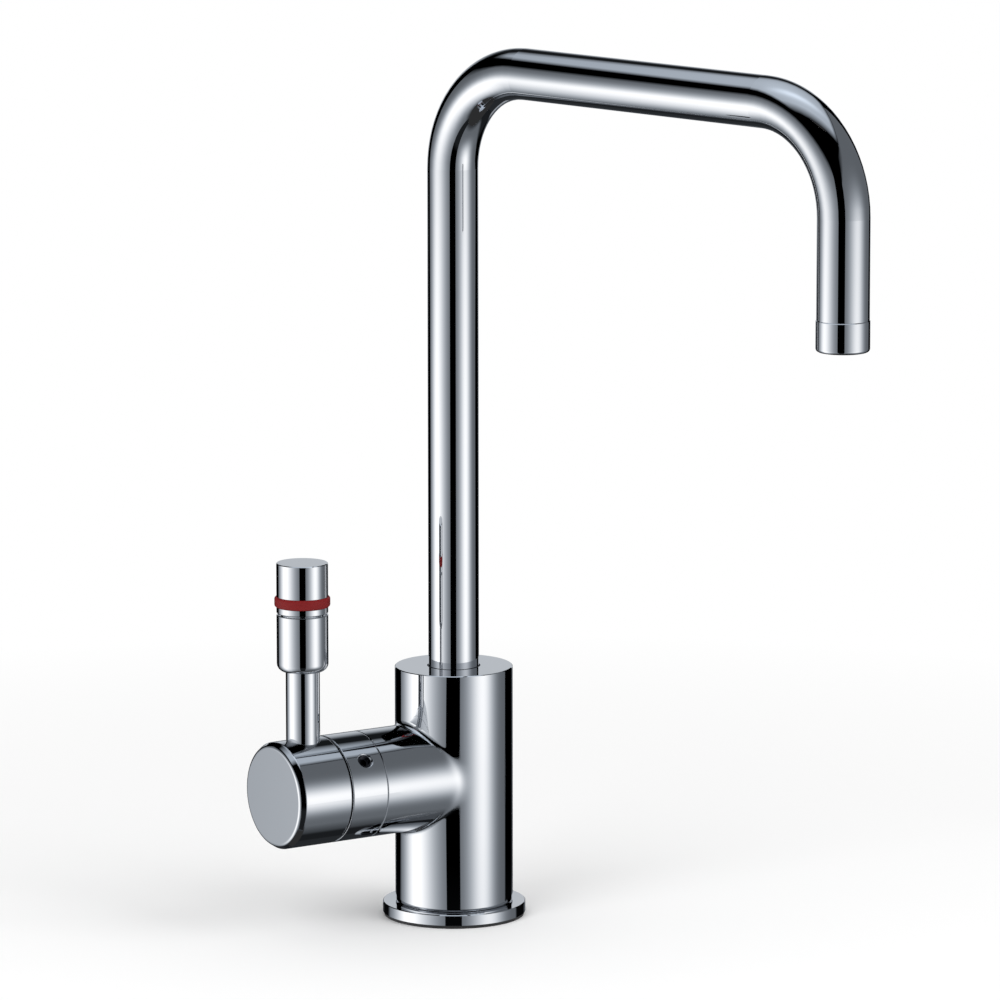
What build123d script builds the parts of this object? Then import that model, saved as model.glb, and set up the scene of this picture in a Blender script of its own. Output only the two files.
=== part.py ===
from build123d import *
import os
from math import asin, cos, degrees, radians, sin, sqrt

# A boiling water tap: a round body on a flange, a square-arch swivel spout, and a side branch with a
# ceramic-disc headwork, a turning hub and an upright lever with a child lock in its grip.
#
# Millimetres. Z is up. The origin is on the body's axis, on the worktop. The branch runs along -X.
# Lengths called s are measured outwards along the branch from the body's axis, and r is a radius.

# ---------------------------------------------------------------- driving dimensions

# Fits
running_clearance = 0.05  # radial, between a turning or sliding piece and its bore
static_clearance = 0.05  # radial, between pieces that are screwed, pressed or plugged together
face_play = 0.05  # axial, between flat faces that turn on each other

# Foot
body_r = 21.0
body_height = 90.5  # top of the body above the worktop
gasket_t = 1.2
gasket_inset = 0.5  # the gasket stops this far inside the flange's rim
flange_t = 3.8
flange_overhang = 4.5  # the flange stands this far out from the body
spigot_inset = 2.5  # the body's spigot is this much slimmer than the body
spigot_recess = 0.6  # the spigot stops this far above the worktop
spigot_wall = 2.4
connector_h = 16.0
stud_hole_r = 3.4  # M8 thread, tapping size
stud_hole_depth = 12.0
inlet_hole_r = 4.5  # M10x1 thread, tapping size
inlet_hole_depth = 10.0
inlet_edge = 1.5  # wall between the inlet and the connector's rim
water_r = 3.0  # drilled waterways
body_foot_round = 1.0
edge_break = 0.25  # sharp edges are broken by this much

# Branch, bonnet ring and hub
branch_inset = 2.0  # the branch is this much slimmer than the body
branch_z = 52.0
branch_l = 40.0  # body axis to the bonnet ring
branch_blend = 2.0
nose_r = 14.5
nose_l = 10.0
bonnet_l = 14.5
hub_gap = 0.6
hub_l = 21.1
hub_bevel_r = 1.4  # bevel round the hub's face, across the axis
hub_bevel_l = 2.2  # and along it
hub_bevel_inner_round = 1.3
hub_bevel_outer_round = 0.75
hub_cavity_r = 14.2
bonnet_screw_s = 7.0  # from the branch's end to the grub screw
bonnet_screw_angle = 39.0  # above the horizontal, on the front side
hub_screw_inset = 5.5  # hub face to the hub's grub screw

# Headwork
seat_s = 18.0  # body axis to the valve seat
seal_t = 2.3
seal_r = 7.2
seal_bore_r = 4.2
disc_r = 8.5
disc_t = 3.5
disc_clearance = 0.15  # radial, discs in the cage
port_inner_r = 1.4
port_outer_r = 6.9
port_blank_angle = 96.0  # closed sector between the two ports of a disc
key_width = 3.2
key_height = 0.9
cage_wall = 1.2
cage_setback = 0.9  # the cage stops this far short of the valve seat
window_width = 9.0
chamber_r = 12.0
chamber_l = 13.0
thread_r = 10.4
outlet_drill_r = 2.5
outlet_drill_offset = 10.0  # above the branch's axis
riser_drill_r = 4.0
foot_bar_width = 6.0
foot_bar_t = 3.6
collar_r = 8.2
collar_t = 1.4
slip_washer_t = 0.6
spindle_r = 5.0
ring_flange_r = 13.0
ring_flange_t = 1.2
hex_flats = 20.0
hex_t = 4.3
gland_nose_r = 8.5
spline_teeth = 16
spline_root_r = 3.8
spline_tooth = 0.6
spline_l = 4.7
circlip_t = 1.0
circlip_r = 6.8
circlip_groove_depth = 0.6
hub_wall_gap = 0.7  # circlip to the hub's inner wall

# Lever and child lock
lever_inset = 8.4  # hub's inner edge to the lever's axis
quarter_turn = 90.0  # travel of the lever
stem_r = 6.0
stem_visible = 24.5
stem_sink = 1.6  # depth of the flat that the stem stands on
stem_foot_r = 4.0
stem_foot_gap = 0.2  # foot to the hub's cavity
stem_thread_r = 5.0
sleeve_r = 9.1
sleeve_l = 20.4
sleeve_wall = 1.5
sleeve_floor = 8.5
sleeve_top_round = 0.4
seam_gap = 0.5
knob_neck = 2.15
band_height = 3.8
band_groove = 1.1
band_stand_out = 0.73
band_round = 0.9
knob_cap = 11.85
knob_spigot = 8.4
knob_pin_depth = 3.6  # pin inside the knob, above the seam
lock_lift = 3.0
pin_r = 1.6
pin_reach = 10.0  # pin's tip to the branch's axis
pin_collar_r = 3.4
pin_collar_t = 2.0
spring_chamber_r = 3.6
spring_chamber_l = 20.0
bush_t = 3.0
bush_guide_r = 2.3  # spring guide below the bush
spring_wire_r = 0.35
spring_side_gap = 0.35
spring_turns = 7
stop_slot_width = 4.0
stop_ring_wall = 1.0
stop_ring_r = 13.2
stop_ring_spare = 0.4  # slack between the pin and the ends of its slot

# Spout
tube_r = 9.0
tube_wall = 1.0
spout_height = 305.0  # worktop to the level run's centre line
spout_reach = 185.0
spout_bend_r = 36.0
spout_angle = -78.35  # direction of the spout at rest, from +X about +Z
outlet_drop = 81.3  # level run's centre line to the outlet's mouth
housing_l = 10.8
socket_gap = 0.5  # round the tube, filled by the guide ring
socket_depth = 22.5
thrust_washer_t = 1.5
thrust_washer_bore = 6.0
insert_l = 14.4
insert_bore_r = 6.0
insert_spigot_l = 8.0
oring_r = 0.9  # section of the O-rings
oring_squash = 0.05  # clearance left round each O-ring
oring_pitch = 4.0
first_oring = 3.2  # foot of the insert to the first O-ring
keeper_width = 3.4
keeper_depth = 2.0
keeper_from_top = 3.2
guide_ring_l = 3.6
guide_ring_drop = 0.4  # below the body's top

# Outlet
adapter_l = 16.0
adapter_bore_r = 6.2
housing_r = 9.2
housing_round = 1.2
housing_lip = 2.3
housing_mouth_r = 7.2
outlet_ring_r = 7.8
washer_t = 1.2
washer_bore_r = 5.6
straightener_flange_t = 2.2
straightener_drop = 1.5
honeycomb_pitch = 2.3
honeycomb_flats = 1.9
honeycomb_rings = 2
screen_t = 0.5
screen_r = 5.4
screen_pitch = 1.5
screen_hole = 0.9
screen_rings = 3

# Grub screws
screw_r = 2.4
hex_socket = 2.5
hex_socket_depth = 1.5
spout_screw_l = 9.0
spout_screw_tip_r = 1.3
spout_screw_gap = 0.4  # tip to the floor of the keeper groove
hub_screw_r = 1.9
hub_screw_l = 8.0
hub_screw_tip_r = 1.4
bonnet_screw_l = 2.6
screw_tip_l = 1.2
screw_tip_r = 1.8
mouth_r = 3.0  # countersunk mouth of the bonnet ring's screw hole

# ---------------------------------------------------------------- derived sizes

flange_r = body_r + flange_overhang
body_foot_z = gasket_t + flange_t
spigot_r = body_r - spigot_inset
connector_r = spigot_r - spigot_wall - static_clearance
inlet_x = connector_r - inlet_edge - inlet_hole_r

branch_r = body_r - branch_inset
nose_end_s = branch_l + nose_l
hub_s = branch_l + bonnet_l + hub_gap
hub_end_s = hub_s + hub_l
lever_s = hub_s + lever_inset
hub_top_z = branch_z + branch_r

cage_s = seat_s + cage_setback
fixed_disc_s = seat_s + seal_t
moving_disc_s = fixed_disc_s + disc_t + face_play
foot_s = moving_disc_s + disc_t + face_play
collar_s = foot_s + foot_bar_t
slip_washer_s = collar_s + collar_t
gland_step_s = slip_washer_s + slip_washer_t + face_play
cage_bore_r = disc_r + disc_clearance
cage_r = cage_bore_r + cage_wall
gland_thread_r = thread_r - static_clearance
chamber_end_s = seat_s + chamber_l
hex_s = nose_end_s + ring_flange_t
stop_ring_l = stop_slot_width + 2 * stop_ring_wall
stop_ring_s = lever_s - stop_ring_l / 2
gland_end_s = lever_s + stop_ring_l / 2
circlip_s = gland_end_s + face_play
hub_wall_s = circlip_s + circlip_t + hub_wall_gap
spline_r = spline_root_r + spline_tooth

stem_base_z = hub_top_z - stem_sink
stem_foot_z = branch_z + hub_cavity_r + stem_foot_gap
sleeve_z = hub_top_z + stem_visible
sleeve_top_z = sleeve_z + sleeve_l
sleeve_floor_z = sleeve_z + sleeve_floor
sleeve_cavity_r = sleeve_r - sleeve_wall
chamber_z = sleeve_floor_z - spring_chamber_l
knob_z = sleeve_top_z + seam_gap
band_z = knob_z + knob_neck
knob_top_z = band_z + band_height + knob_cap
knob_spigot_z = knob_z - knob_spigot
knob_spigot_r = sleeve_cavity_r - running_clearance
band_floor_r = sleeve_r - band_groove
pin_tip_z = branch_z + pin_reach
pin_top_z = knob_z + knob_pin_depth
pin_bore_r = pin_r + running_clearance
collar_top_z = chamber_z + pin_collar_t

socket_r = tube_r + socket_gap
socket_z = body_height - socket_depth
insert_z = socket_z + thrust_washer_t + face_play
insert_r = socket_r - running_clearance
tube_z = insert_z + insert_l
tube_bore_r = tube_r - tube_wall
keeper_z = tube_z - keeper_from_top
outlet_mouth_z = spout_height - outlet_drop
outlet_joint_z = outlet_mouth_z + housing_l

lip_z = outlet_mouth_z + housing_lip
straightener_z = lip_z - straightener_drop
straightener_top_z = lip_z + straightener_flange_t
adapter_z = straightener_top_z + washer_t
adapter_r = tube_bore_r - static_clearance
housing_bore_r = adapter_r + static_clearance

# ---------------------------------------------------------------- axes and planes

branch_axis = Axis((0, 0, branch_z), (-1, 0, 0))
branch_profile = Plane(origin=(0, 0, branch_z), x_dir=(-1, 0, 0), z_dir=(0, 1, 0))  # drawn in s, r
branch_section = Plane(origin=(0, 0, branch_z), x_dir=(0, -1, 0), z_dir=(-1, 0, 0))  # front, up

lever_axis = Axis((-lever_s, 0, 0), (0, 0, 1))
lever_profile = Plane(origin=(-lever_s, 0, 0), x_dir=(1, 0, 0), z_dir=(0, -1, 0))  # drawn in r, z
lever_section = Plane(origin=(-lever_s, 0, 0))

spout_dir = (cos(radians(spout_angle)), sin(radians(spout_angle)), 0)
spout_side = Plane(origin=(0, 0, 0), x_dir=spout_dir, z_dir=(spout_dir[1], -spout_dir[0], 0))
outlet_origin = (spout_reach * spout_dir[0], spout_reach * spout_dir[1], 0)
outlet_axis = Axis(outlet_origin, (0, 0, 1))
outlet_profile = Plane(origin=outlet_origin, x_dir=(1, 0, 0), z_dir=(0, -1, 0))  # drawn in r, z
outlet_section = Plane(origin=outlet_origin, x_dir=spout_dir, z_dir=(0, 0, 1))

body_profile = Plane.XZ  # drawn in r, z
bonnet_screw_dir = (0, -cos(radians(bonnet_screw_angle)), sin(radians(bonnet_screw_angle)))


def bonnet_screw_plane(radius):
    """Plane across the bonnet ring's grub screw, at a radius from the branch's axis."""
    s = branch_l + bonnet_screw_s
    centre = Vector(-s, 0, branch_z) + Vector(bonnet_screw_dir) * radius
    return Plane(origin=centre, x_dir=(1, 0, 0), z_dir=bonnet_screw_dir)


def spout_screw_plane(radius):
    """Plane across the spout's grub screw, at a radius behind the body's axis."""
    return Plane(origin=(0, radius, keeper_z), x_dir=(1, 0, 0), z_dir=(0, 1, 0))


def hub_screw_plane(radius):
    """Plane across the hub's grub screw, at a radius below the branch's axis."""
    s = hub_end_s - hub_screw_inset
    return Plane(origin=(-s, 0, branch_z - radius), x_dir=(1, 0, 0), z_dir=(0, 0, -1))


# ---------------------------------------------------------------- repeated forms


def make_ring(section, outer_r, inner_r, thickness):
    """Flat ring that stands on a plane."""
    with BuildPart() as ring:
        with BuildSketch(section):
            Circle(outer_r)
            Circle(inner_r, mode=Mode.SUBTRACT)
        extrude(amount=thickness)
    return ring.part


def make_orings(profile, axis, places):
    """O-rings at (along, across) places of a profile plane, turned about an axis."""
    with BuildPart() as rings:
        with BuildSketch(profile):
            with Locations(*places):
                Circle(oring_r)
        revolve(axis=axis)
    return rings.part


def make_grub_screw(tip, length, tip_r, tip_l=screw_tip_l, radius=screw_r):
    """Grub screw that starts with its tip on a plane and ends in a hexagon socket."""
    with BuildPart() as screw:
        with BuildSketch(tip):
            Circle(tip_r)
        extrude(amount=tip_l)
        with BuildSketch(tip.offset(tip_l)):
            Circle(radius)
        extrude(amount=length - tip_l)
        with BuildSketch(tip.offset(length)):
            RegularPolygon(hex_socket / 2, 6, major_radius=False)
        extrude(amount=-hex_socket_depth, mode=Mode.SUBTRACT)
    return screw.part


def hexagonal_grid(pitch, rings):
    """Centres of a hexagonal grid with a number of rings round its middle."""
    steps = range(-rings, rings + 1)
    return [
        (pitch * (i + j / 2), pitch * j * sqrt(3) / 2)
        for i in steps
        for j in steps
        if abs(i + j) <= rings
    ]


def groove_floor(wall_r):
    """Radius of an O-ring groove's floor under a bore's wall."""
    return wall_r - 2 * (oring_r + oring_squash)


# Butterfly port of the ceramic discs: a ring cut into two by two blank sectors.
with BuildSketch() as butterfly_port:
    Circle(port_outer_r)
    Circle(port_inner_r, mode=Mode.SUBTRACT)
    blank_x = 2 * port_outer_r * cos(radians(port_blank_angle / 2))
    blank_y = 2 * port_outer_r * sin(radians(port_blank_angle / 2))
    with PolarLocations(0, 2):
        Polygon((0, 0), (blank_x, -blank_y), (blank_x, blank_y), align=None, mode=Mode.SUBTRACT)

# ---------------------------------------------------------------- foot

base_gasket = make_ring(
    Plane.XY, flange_r - gasket_inset, spigot_r + static_clearance, gasket_t
)

with BuildPart() as base_flange:
    with BuildSketch(Plane.XY.offset(gasket_t)):
        Circle(flange_r)
        Circle(spigot_r + static_clearance, mode=Mode.SUBTRACT)
    extrude(amount=flange_t)
    chamfer(base_flange.faces().sort_by(Axis.Z)[-1].outer_wire().edges(), length=edge_break)

# Brass plug with the fixing stud's hole in the middle and the water inlet beside it.
connector_oring_z = connector_h - 2 * oring_r
connector_groove_r = groove_floor(connector_r + static_clearance)
with BuildPart() as base_connector:
    with BuildSketch(Plane.XY):
        Circle(connector_r)
    extrude(amount=connector_h)
    with BuildSketch(Plane.XY.offset(connector_oring_z)):
        Circle(connector_r)
        Circle(connector_groove_r, mode=Mode.SUBTRACT)
    extrude(amount=oring_r + oring_squash, both=True, mode=Mode.SUBTRACT)
    with BuildSketch(Plane.XY):
        Circle(stud_hole_r)
    extrude(amount=stud_hole_depth, mode=Mode.SUBTRACT)
    with BuildSketch(Plane.XY):
        with Locations((inlet_x, 0)):
            Circle(inlet_hole_r)
    extrude(amount=inlet_hole_depth, mode=Mode.SUBTRACT)
    with BuildSketch(Plane.XY):
        with Locations((inlet_x, 0)):
            Circle(water_r)
    extrude(amount=connector_h, mode=Mode.SUBTRACT)

connector_oring = make_orings(
    body_profile, Axis.Z, [((connector_groove_r + connector_r + static_clearance) / 2, connector_oring_z)]
)

# ---------------------------------------------------------------- body

outlet_drill_z = branch_z + outlet_drill_offset
with BuildPart() as tap_body:
    # column and branch, blended where they meet
    with BuildSketch(Plane.XY.offset(body_foot_z)):
        Circle(body_r)
    extrude(amount=body_height - body_foot_z)
    with BuildSketch(branch_section):
        Circle(branch_r)
    extrude(amount=branch_l)
    meeting_edges = tap_body.edges().filter_by(GeomType.BSPLINE)
    fillet(meeting_edges, radius=branch_blend)
    column_ends = tap_body.edges().filter_by(GeomType.CIRCLE).sort_by(Axis.Z)
    chamfer(column_ends[-1], length=edge_break)
    fillet(column_ends[0], radius=body_foot_round)
    chamfer(tap_body.edges().filter_by(GeomType.CIRCLE).sort_by(Axis.X)[0], length=edge_break)
    # spigots for the flange and for the bonnet ring
    with BuildSketch(Plane.XY.offset(spigot_recess)):
        Circle(spigot_r)
    extrude(amount=body_foot_z + body_foot_round - spigot_recess)
    with BuildSketch(branch_section.offset(branch_l)):
        Circle(nose_r)
    extrude(amount=nose_l)
    # pocket for the connector
    with BuildSketch(Plane.XY.offset(spigot_recess)):
        Circle(connector_r + static_clearance)
    extrude(amount=connector_h - spigot_recess, mode=Mode.SUBTRACT)
    # headwork's bore, with a wider water chamber behind the thread
    with BuildSketch(branch_profile):
        Polygon(
            (seat_s, 0),
            (seat_s, chamber_r),
            (chamber_end_s, chamber_r),
            (chamber_end_s, thread_r),
            (nose_end_s - 2 * oring_r, thread_r),
            (nose_end_s - 2 * oring_r, thread_r + 2 * oring_r),
            (nose_end_s, thread_r + 2 * oring_r),
            (nose_end_s, 0),
            align=None,
        )
    revolve(axis=branch_axis, mode=Mode.SUBTRACT)
    # inlet: up from the connector and across to the valve seat
    with BuildSketch(Plane.XY.offset(connector_h)):
        with Locations((inlet_x, 0)):
            Circle(water_r)
    extrude(amount=branch_z - connector_h, mode=Mode.SUBTRACT)
    with BuildSketch(branch_section.offset(-inlet_x - water_r)):
        Circle(water_r)
    extrude(amount=inlet_x + water_r + seat_s, mode=Mode.SUBTRACT)
    # outlet: from the top of the chamber to the spout's socket
    with BuildSketch(branch_section):
        with Locations((0, outlet_drill_offset)):
            Circle(outlet_drill_r)
    extrude(amount=(seat_s + chamber_end_s) / 2, mode=Mode.SUBTRACT)
    with BuildSketch(Plane.XY.offset(outlet_drill_z - outlet_drill_r)):
        Circle(riser_drill_r)
    extrude(amount=socket_z - outlet_drill_z + outlet_drill_r, mode=Mode.SUBTRACT)
    with BuildSketch(Plane.XY.offset(socket_z)):
        Circle(socket_r)
    extrude(amount=socket_depth, mode=Mode.SUBTRACT)
    # threaded hole for the spout's grub screw, from behind
    with BuildSketch(spout_screw_plane(0)):
        Circle(screw_r + static_clearance)
    extrude(amount=body_r, mode=Mode.SUBTRACT)

# ---------------------------------------------------------------- headwork

seat_seal = make_ring(branch_section.offset(seat_s), seal_r, seal_bore_r, seal_t)

with BuildPart() as fixed_ceramic_disc:
    with BuildSketch(branch_section.offset(fixed_disc_s)):
        Circle(disc_r)
        with PolarLocations(disc_r, 2, start_angle=90):
            Rectangle(2 * key_height, key_width)
        add(butterfly_port.sketch, mode=Mode.SUBTRACT)
    extrude(amount=disc_t)

with BuildPart() as moving_ceramic_disc:
    with BuildSketch(branch_section.offset(moving_disc_s)):
        Circle(disc_r)
        add(butterfly_port.sketch, rotation=90, mode=Mode.SUBTRACT)
    extrude(amount=disc_t)
    with BuildSketch(branch_section.offset(moving_disc_s + disc_t)):
        with PolarLocations(disc_r, 2):
            Rectangle(2 * key_height, key_width)
    extrude(amount=-disc_t / 2, mode=Mode.SUBTRACT)

with BuildPart() as cartridge_body:
    with BuildSketch(branch_profile):
        Polygon(
            (cage_s, cage_bore_r),
            (cage_s, cage_r),
            (chamber_end_s, cage_r),
            (chamber_end_s, gland_thread_r),
            (nose_end_s, gland_thread_r),
            (nose_end_s, ring_flange_r),
            (hex_s, ring_flange_r),
            (hex_s, gland_nose_r),
            (gland_end_s, gland_nose_r),
            (gland_end_s, spindle_r + running_clearance),
            (gland_step_s, spindle_r + running_clearance),
            (gland_step_s, cage_bore_r),
            align=None,
        )
    revolve(axis=branch_axis)
    with BuildSketch(branch_section.offset(hex_s)):
        RegularPolygon(hex_flats / 2, 6, major_radius=False)
        Circle(gland_nose_r, mode=Mode.SUBTRACT)
    extrude(amount=hex_t)
    # key slots for the fixed disc, open at the cage's end
    with BuildSketch(branch_section.offset(cage_s)):
        with PolarLocations(disc_r + disc_clearance, 2, start_angle=90):
            Rectangle(2 * (key_height + disc_clearance), key_width + 2 * disc_clearance)
    extrude(amount=fixed_disc_s + disc_t - cage_s, mode=Mode.SUBTRACT)
    # two side windows, where the water leaves the discs
    with BuildSketch(branch_section.offset(foot_s)):
        Rectangle(2 * chamber_r, window_width)
    extrude(amount=foot_bar_t, mode=Mode.SUBTRACT)

cartridge_oring = make_orings(
    branch_profile, branch_axis, [(nose_end_s - oring_r, thread_r + oring_r)]
)

with BuildPart() as valve_spindle:
    # drive foot: a bar across the cage with a dog at each end, so that water passes beside it
    with BuildSketch(branch_section.offset(foot_s)):
        Rectangle(2 * disc_r, foot_bar_width)
        Circle(disc_r, mode=Mode.INTERSECT)
    extrude(amount=foot_bar_t)
    with BuildSketch(branch_section.offset(moving_disc_s + disc_t / 2 + face_play)):
        with PolarLocations(disc_r - key_height / 2, 2):
            Rectangle(key_height - 2 * running_clearance, key_width - 4 * running_clearance)
    extrude(amount=disc_t / 2)
    # collar, shaft and splined end
    with BuildSketch(branch_section.offset(collar_s)):
        Circle(collar_r)
    extrude(amount=collar_t)
    with BuildSketch(branch_section.offset(slip_washer_s)):
        Circle(spindle_r)
    extrude(amount=hub_wall_s - slip_washer_s)
    with BuildSketch(branch_section.offset(hub_wall_s)):
        Circle(spline_root_r)
        with PolarLocations(spline_root_r, spline_teeth):
            Rectangle(2 * spline_tooth, spline_tooth)
    extrude(amount=spline_l)
    # grooves for two O-rings and the circlip
    spindle_groove_r = groove_floor(spindle_r + running_clearance)
    spindle_oring_places = [gland_step_s + (1 + i) * oring_pitch for i in range(2)]
    for place in spindle_oring_places:
        with BuildSketch(branch_section.offset(place)):
            Circle(collar_r)
            Circle(spindle_groove_r, mode=Mode.SUBTRACT)
        extrude(amount=oring_r + oring_squash, both=True, mode=Mode.SUBTRACT)
    with BuildSketch(branch_section.offset(circlip_s)):
        Circle(collar_r)
        Circle(spindle_r - circlip_groove_depth, mode=Mode.SUBTRACT)
    extrude(amount=circlip_t, mode=Mode.SUBTRACT)

slip_washer = make_ring(
    branch_section.offset(slip_washer_s), collar_r, spindle_r + static_clearance, slip_washer_t
)

spindle_oring_r = (spindle_groove_r + spindle_r + running_clearance) / 2
spindle_orings = make_orings(
    branch_profile, branch_axis, [(place, spindle_oring_r) for place in spindle_oring_places]
)

# Open ring: its mouth lets it snap sideways into the spindle's groove.
with BuildPart() as spindle_circlip:
    with BuildSketch(branch_section.offset(circlip_s)):
        Circle(circlip_r)
        Circle(spindle_r - circlip_groove_depth + static_clearance, mode=Mode.SUBTRACT)
        with Locations((0, -circlip_r)):
            Rectangle(spindle_r, 2 * circlip_r, mode=Mode.SUBTRACT)
    extrude(amount=circlip_t)

# The slot runs from the upright lever to the opened one, and the lock pin stops at its ends.
slot_spare_angle = degrees(asin((pin_r + stop_ring_spare) / gland_nose_r))
with BuildPart() as stop_ring:
    with BuildSketch(branch_section.offset(stop_ring_s)):
        Circle(stop_ring_r)
        Circle(gland_nose_r + static_clearance, mode=Mode.SUBTRACT)
    extrude(amount=stop_ring_l)
    with BuildSketch(branch_section.offset(lever_s - stop_slot_width / 2)):
        with BuildLine():
            slot_arc = CenterArc(
                (0, 0),
                2 * stop_ring_r,
                90 - quarter_turn - slot_spare_angle,
                quarter_turn + 2 * slot_spare_angle,
            )
            Line((0, 0), slot_arc @ 0)
            Line((0, 0), slot_arc @ 1)
        make_face()
    extrude(amount=stop_slot_width, mode=Mode.SUBTRACT)

# ---------------------------------------------------------------- bonnet ring

with BuildPart() as bonnet_ring:
    with BuildSketch(branch_section.offset(branch_l)):
        Circle(branch_r)
        Circle(nose_r + static_clearance, mode=Mode.SUBTRACT)
    extrude(amount=bonnet_l)
    rims = bonnet_ring.edges().filter_by(GeomType.CIRCLE).group_by(SortBy.RADIUS)[-1]
    chamfer(rims, length=edge_break)
    with BuildSketch(bonnet_screw_plane(0)):
        Circle(screw_r + static_clearance)
    extrude(amount=branch_r, mode=Mode.SUBTRACT)
    with BuildSketch(bonnet_screw_plane(branch_r)):
        Circle(mouth_r)
    extrude(amount=-(mouth_r - screw_r), taper=45, mode=Mode.SUBTRACT)

bonnet_grub_screw = make_grub_screw(
    bonnet_screw_plane(nose_r + static_clearance), bonnet_screw_l, screw_tip_r
)

# ---------------------------------------------------------------- hub and lever

with BuildPart() as handle_hub:
    with BuildSketch(branch_section.offset(hub_s)):
        Circle(branch_r)
    extrude(amount=hub_l)
    hub_rims = handle_hub.edges().filter_by(GeomType.CIRCLE).sort_by(Axis.X)
    hub_face = handle_hub.faces().sort_by(Axis.X)[0]
    chamfer(hub_rims[-1], length=edge_break)
    chamfer(hub_rims[0], length=hub_bevel_r, length2=hub_bevel_l, reference=hub_face)
    bevel_rims = handle_hub.edges().filter_by(GeomType.CIRCLE).sort_by(Axis.X)
    fillet(bevel_rims[0], radius=hub_bevel_inner_round)
    fillet(bevel_rims[1], radius=hub_bevel_outer_round)
    with BuildSketch(branch_section.offset(hub_s)):
        Circle(hub_cavity_r)
    extrude(amount=hub_wall_s - hub_s, mode=Mode.SUBTRACT)
    # splined socket for the spindle
    with BuildSketch(branch_section.offset(hub_wall_s)):
        Circle(spline_root_r + static_clearance)
        with PolarLocations(spline_root_r, spline_teeth):
            Rectangle(2 * (spline_tooth + static_clearance), spline_tooth + 2 * static_clearance)
    extrude(amount=spline_l + edge_break, mode=Mode.SUBTRACT)
    # flat and threaded hole for the lever's stem
    with BuildSketch(lever_section.offset(stem_base_z)):
        Circle(stem_r + static_clearance)
    extrude(amount=2 * stem_sink, mode=Mode.SUBTRACT)
    with BuildSketch(lever_section.offset(branch_z)):
        Circle(stem_foot_r + static_clearance)
    extrude(amount=branch_r, mode=Mode.SUBTRACT)
    # threaded hole for the hub's grub screw, from below
    with BuildSketch(hub_screw_plane(0)):
        Circle(hub_screw_r + static_clearance)
    extrude(amount=branch_r, mode=Mode.SUBTRACT)

hub_grub_screw = make_grub_screw(
    hub_screw_plane(spline_r + 2 * static_clearance), hub_screw_l, hub_screw_tip_r, radius=hub_screw_r
)

with BuildPart() as lever_stem:
    with BuildSketch(lever_profile):
        Polygon(
            (pin_bore_r, stem_foot_z),
            (stem_foot_r, stem_foot_z),
            (stem_foot_r, stem_base_z),
            (stem_r, stem_base_z),
            (stem_r, sleeve_z),
            (stem_thread_r, sleeve_z),
            (stem_thread_r, sleeve_floor_z),
            (spring_chamber_r, sleeve_floor_z),
            (spring_chamber_r, chamber_z),
            (pin_bore_r, chamber_z),
            align=None,
        )
    revolve(axis=lever_axis)

with BuildPart() as lever_sleeve:
    with BuildSketch(lever_profile):
        Polygon(
            (stem_thread_r + static_clearance, sleeve_z),
            (sleeve_r, sleeve_z),
            (sleeve_r, sleeve_top_z),
            (sleeve_cavity_r, sleeve_top_z),
            (sleeve_cavity_r, sleeve_floor_z),
            (stem_thread_r + static_clearance, sleeve_floor_z),
            align=None,
        )
    revolve(axis=lever_axis)
    sleeve_rims = lever_sleeve.edges().filter_by(GeomType.CIRCLE).group_by(SortBy.RADIUS)[-1]
    fillet(sleeve_rims.sort_by(Axis.Z)[0], radius=sleeve_r - stem_r - 2 * static_clearance)
    fillet(sleeve_rims.sort_by(Axis.Z)[-1], radius=sleeve_top_round)

# The bush closes the spring's chamber. Its guide tube stops the pin's collar at the end of the lift.
guide_end_z = collar_top_z + lock_lift + face_play
with BuildPart() as lock_bush:
    with BuildSketch(lever_profile):
        Polygon(
            (pin_bore_r, guide_end_z),
            (bush_guide_r, guide_end_z),
            (bush_guide_r, sleeve_floor_z),
            (sleeve_cavity_r - static_clearance, sleeve_floor_z),
            (sleeve_cavity_r - static_clearance, sleeve_floor_z + bush_t),
            (pin_bore_r, sleeve_floor_z + bush_t),
            align=None,
        )
    revolve(axis=lever_axis)

# Coil spring between the pin's collar and the bush.
spring_r = spring_chamber_r - spring_side_gap - spring_wire_r
spring_seat = spring_wire_r + face_play
spring_z = collar_top_z + spring_seat
spring_l = sleeve_floor_z - spring_seat - spring_z
with BuildPart() as lock_spring:
    with BuildLine():
        coil = Helix(
            pitch=spring_l / spring_turns, height=spring_l, radius=spring_r, center=(-lever_s, 0, spring_z)
        )
    with BuildSketch(Plane(origin=coil @ 0, z_dir=coil % 0)):
        Circle(spring_wire_r)
    sweep(path=coil, is_frenet=True)

# ---------------------------------------------------------------- lock knob

with BuildPart() as lock_knob:
    with BuildSketch(lever_profile):
        Polygon(
            (0, knob_spigot_z),
            (knob_spigot_r, knob_spigot_z),
            (knob_spigot_r, knob_z),
            (sleeve_r, knob_z),
            (sleeve_r, band_z),
            (band_floor_r, band_z),
            (band_floor_r, band_z + band_height),
            (sleeve_r, band_z + band_height),
            (sleeve_r, knob_top_z),
            (0, knob_top_z),
            align=None,
        )
    revolve(axis=lever_axis)
    knob_rims = lock_knob.edges().filter_by(GeomType.CIRCLE).group_by(SortBy.RADIUS)[-1]
    chamfer([knob_rims.sort_by(Axis.Z)[0], knob_rims.sort_by(Axis.Z)[-1]], length=edge_break)
    with BuildSketch(lever_section.offset(knob_spigot_z)):
        Circle(pin_r + static_clearance)
    extrude(amount=pin_top_z + face_play - knob_spigot_z, mode=Mode.SUBTRACT)

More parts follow.
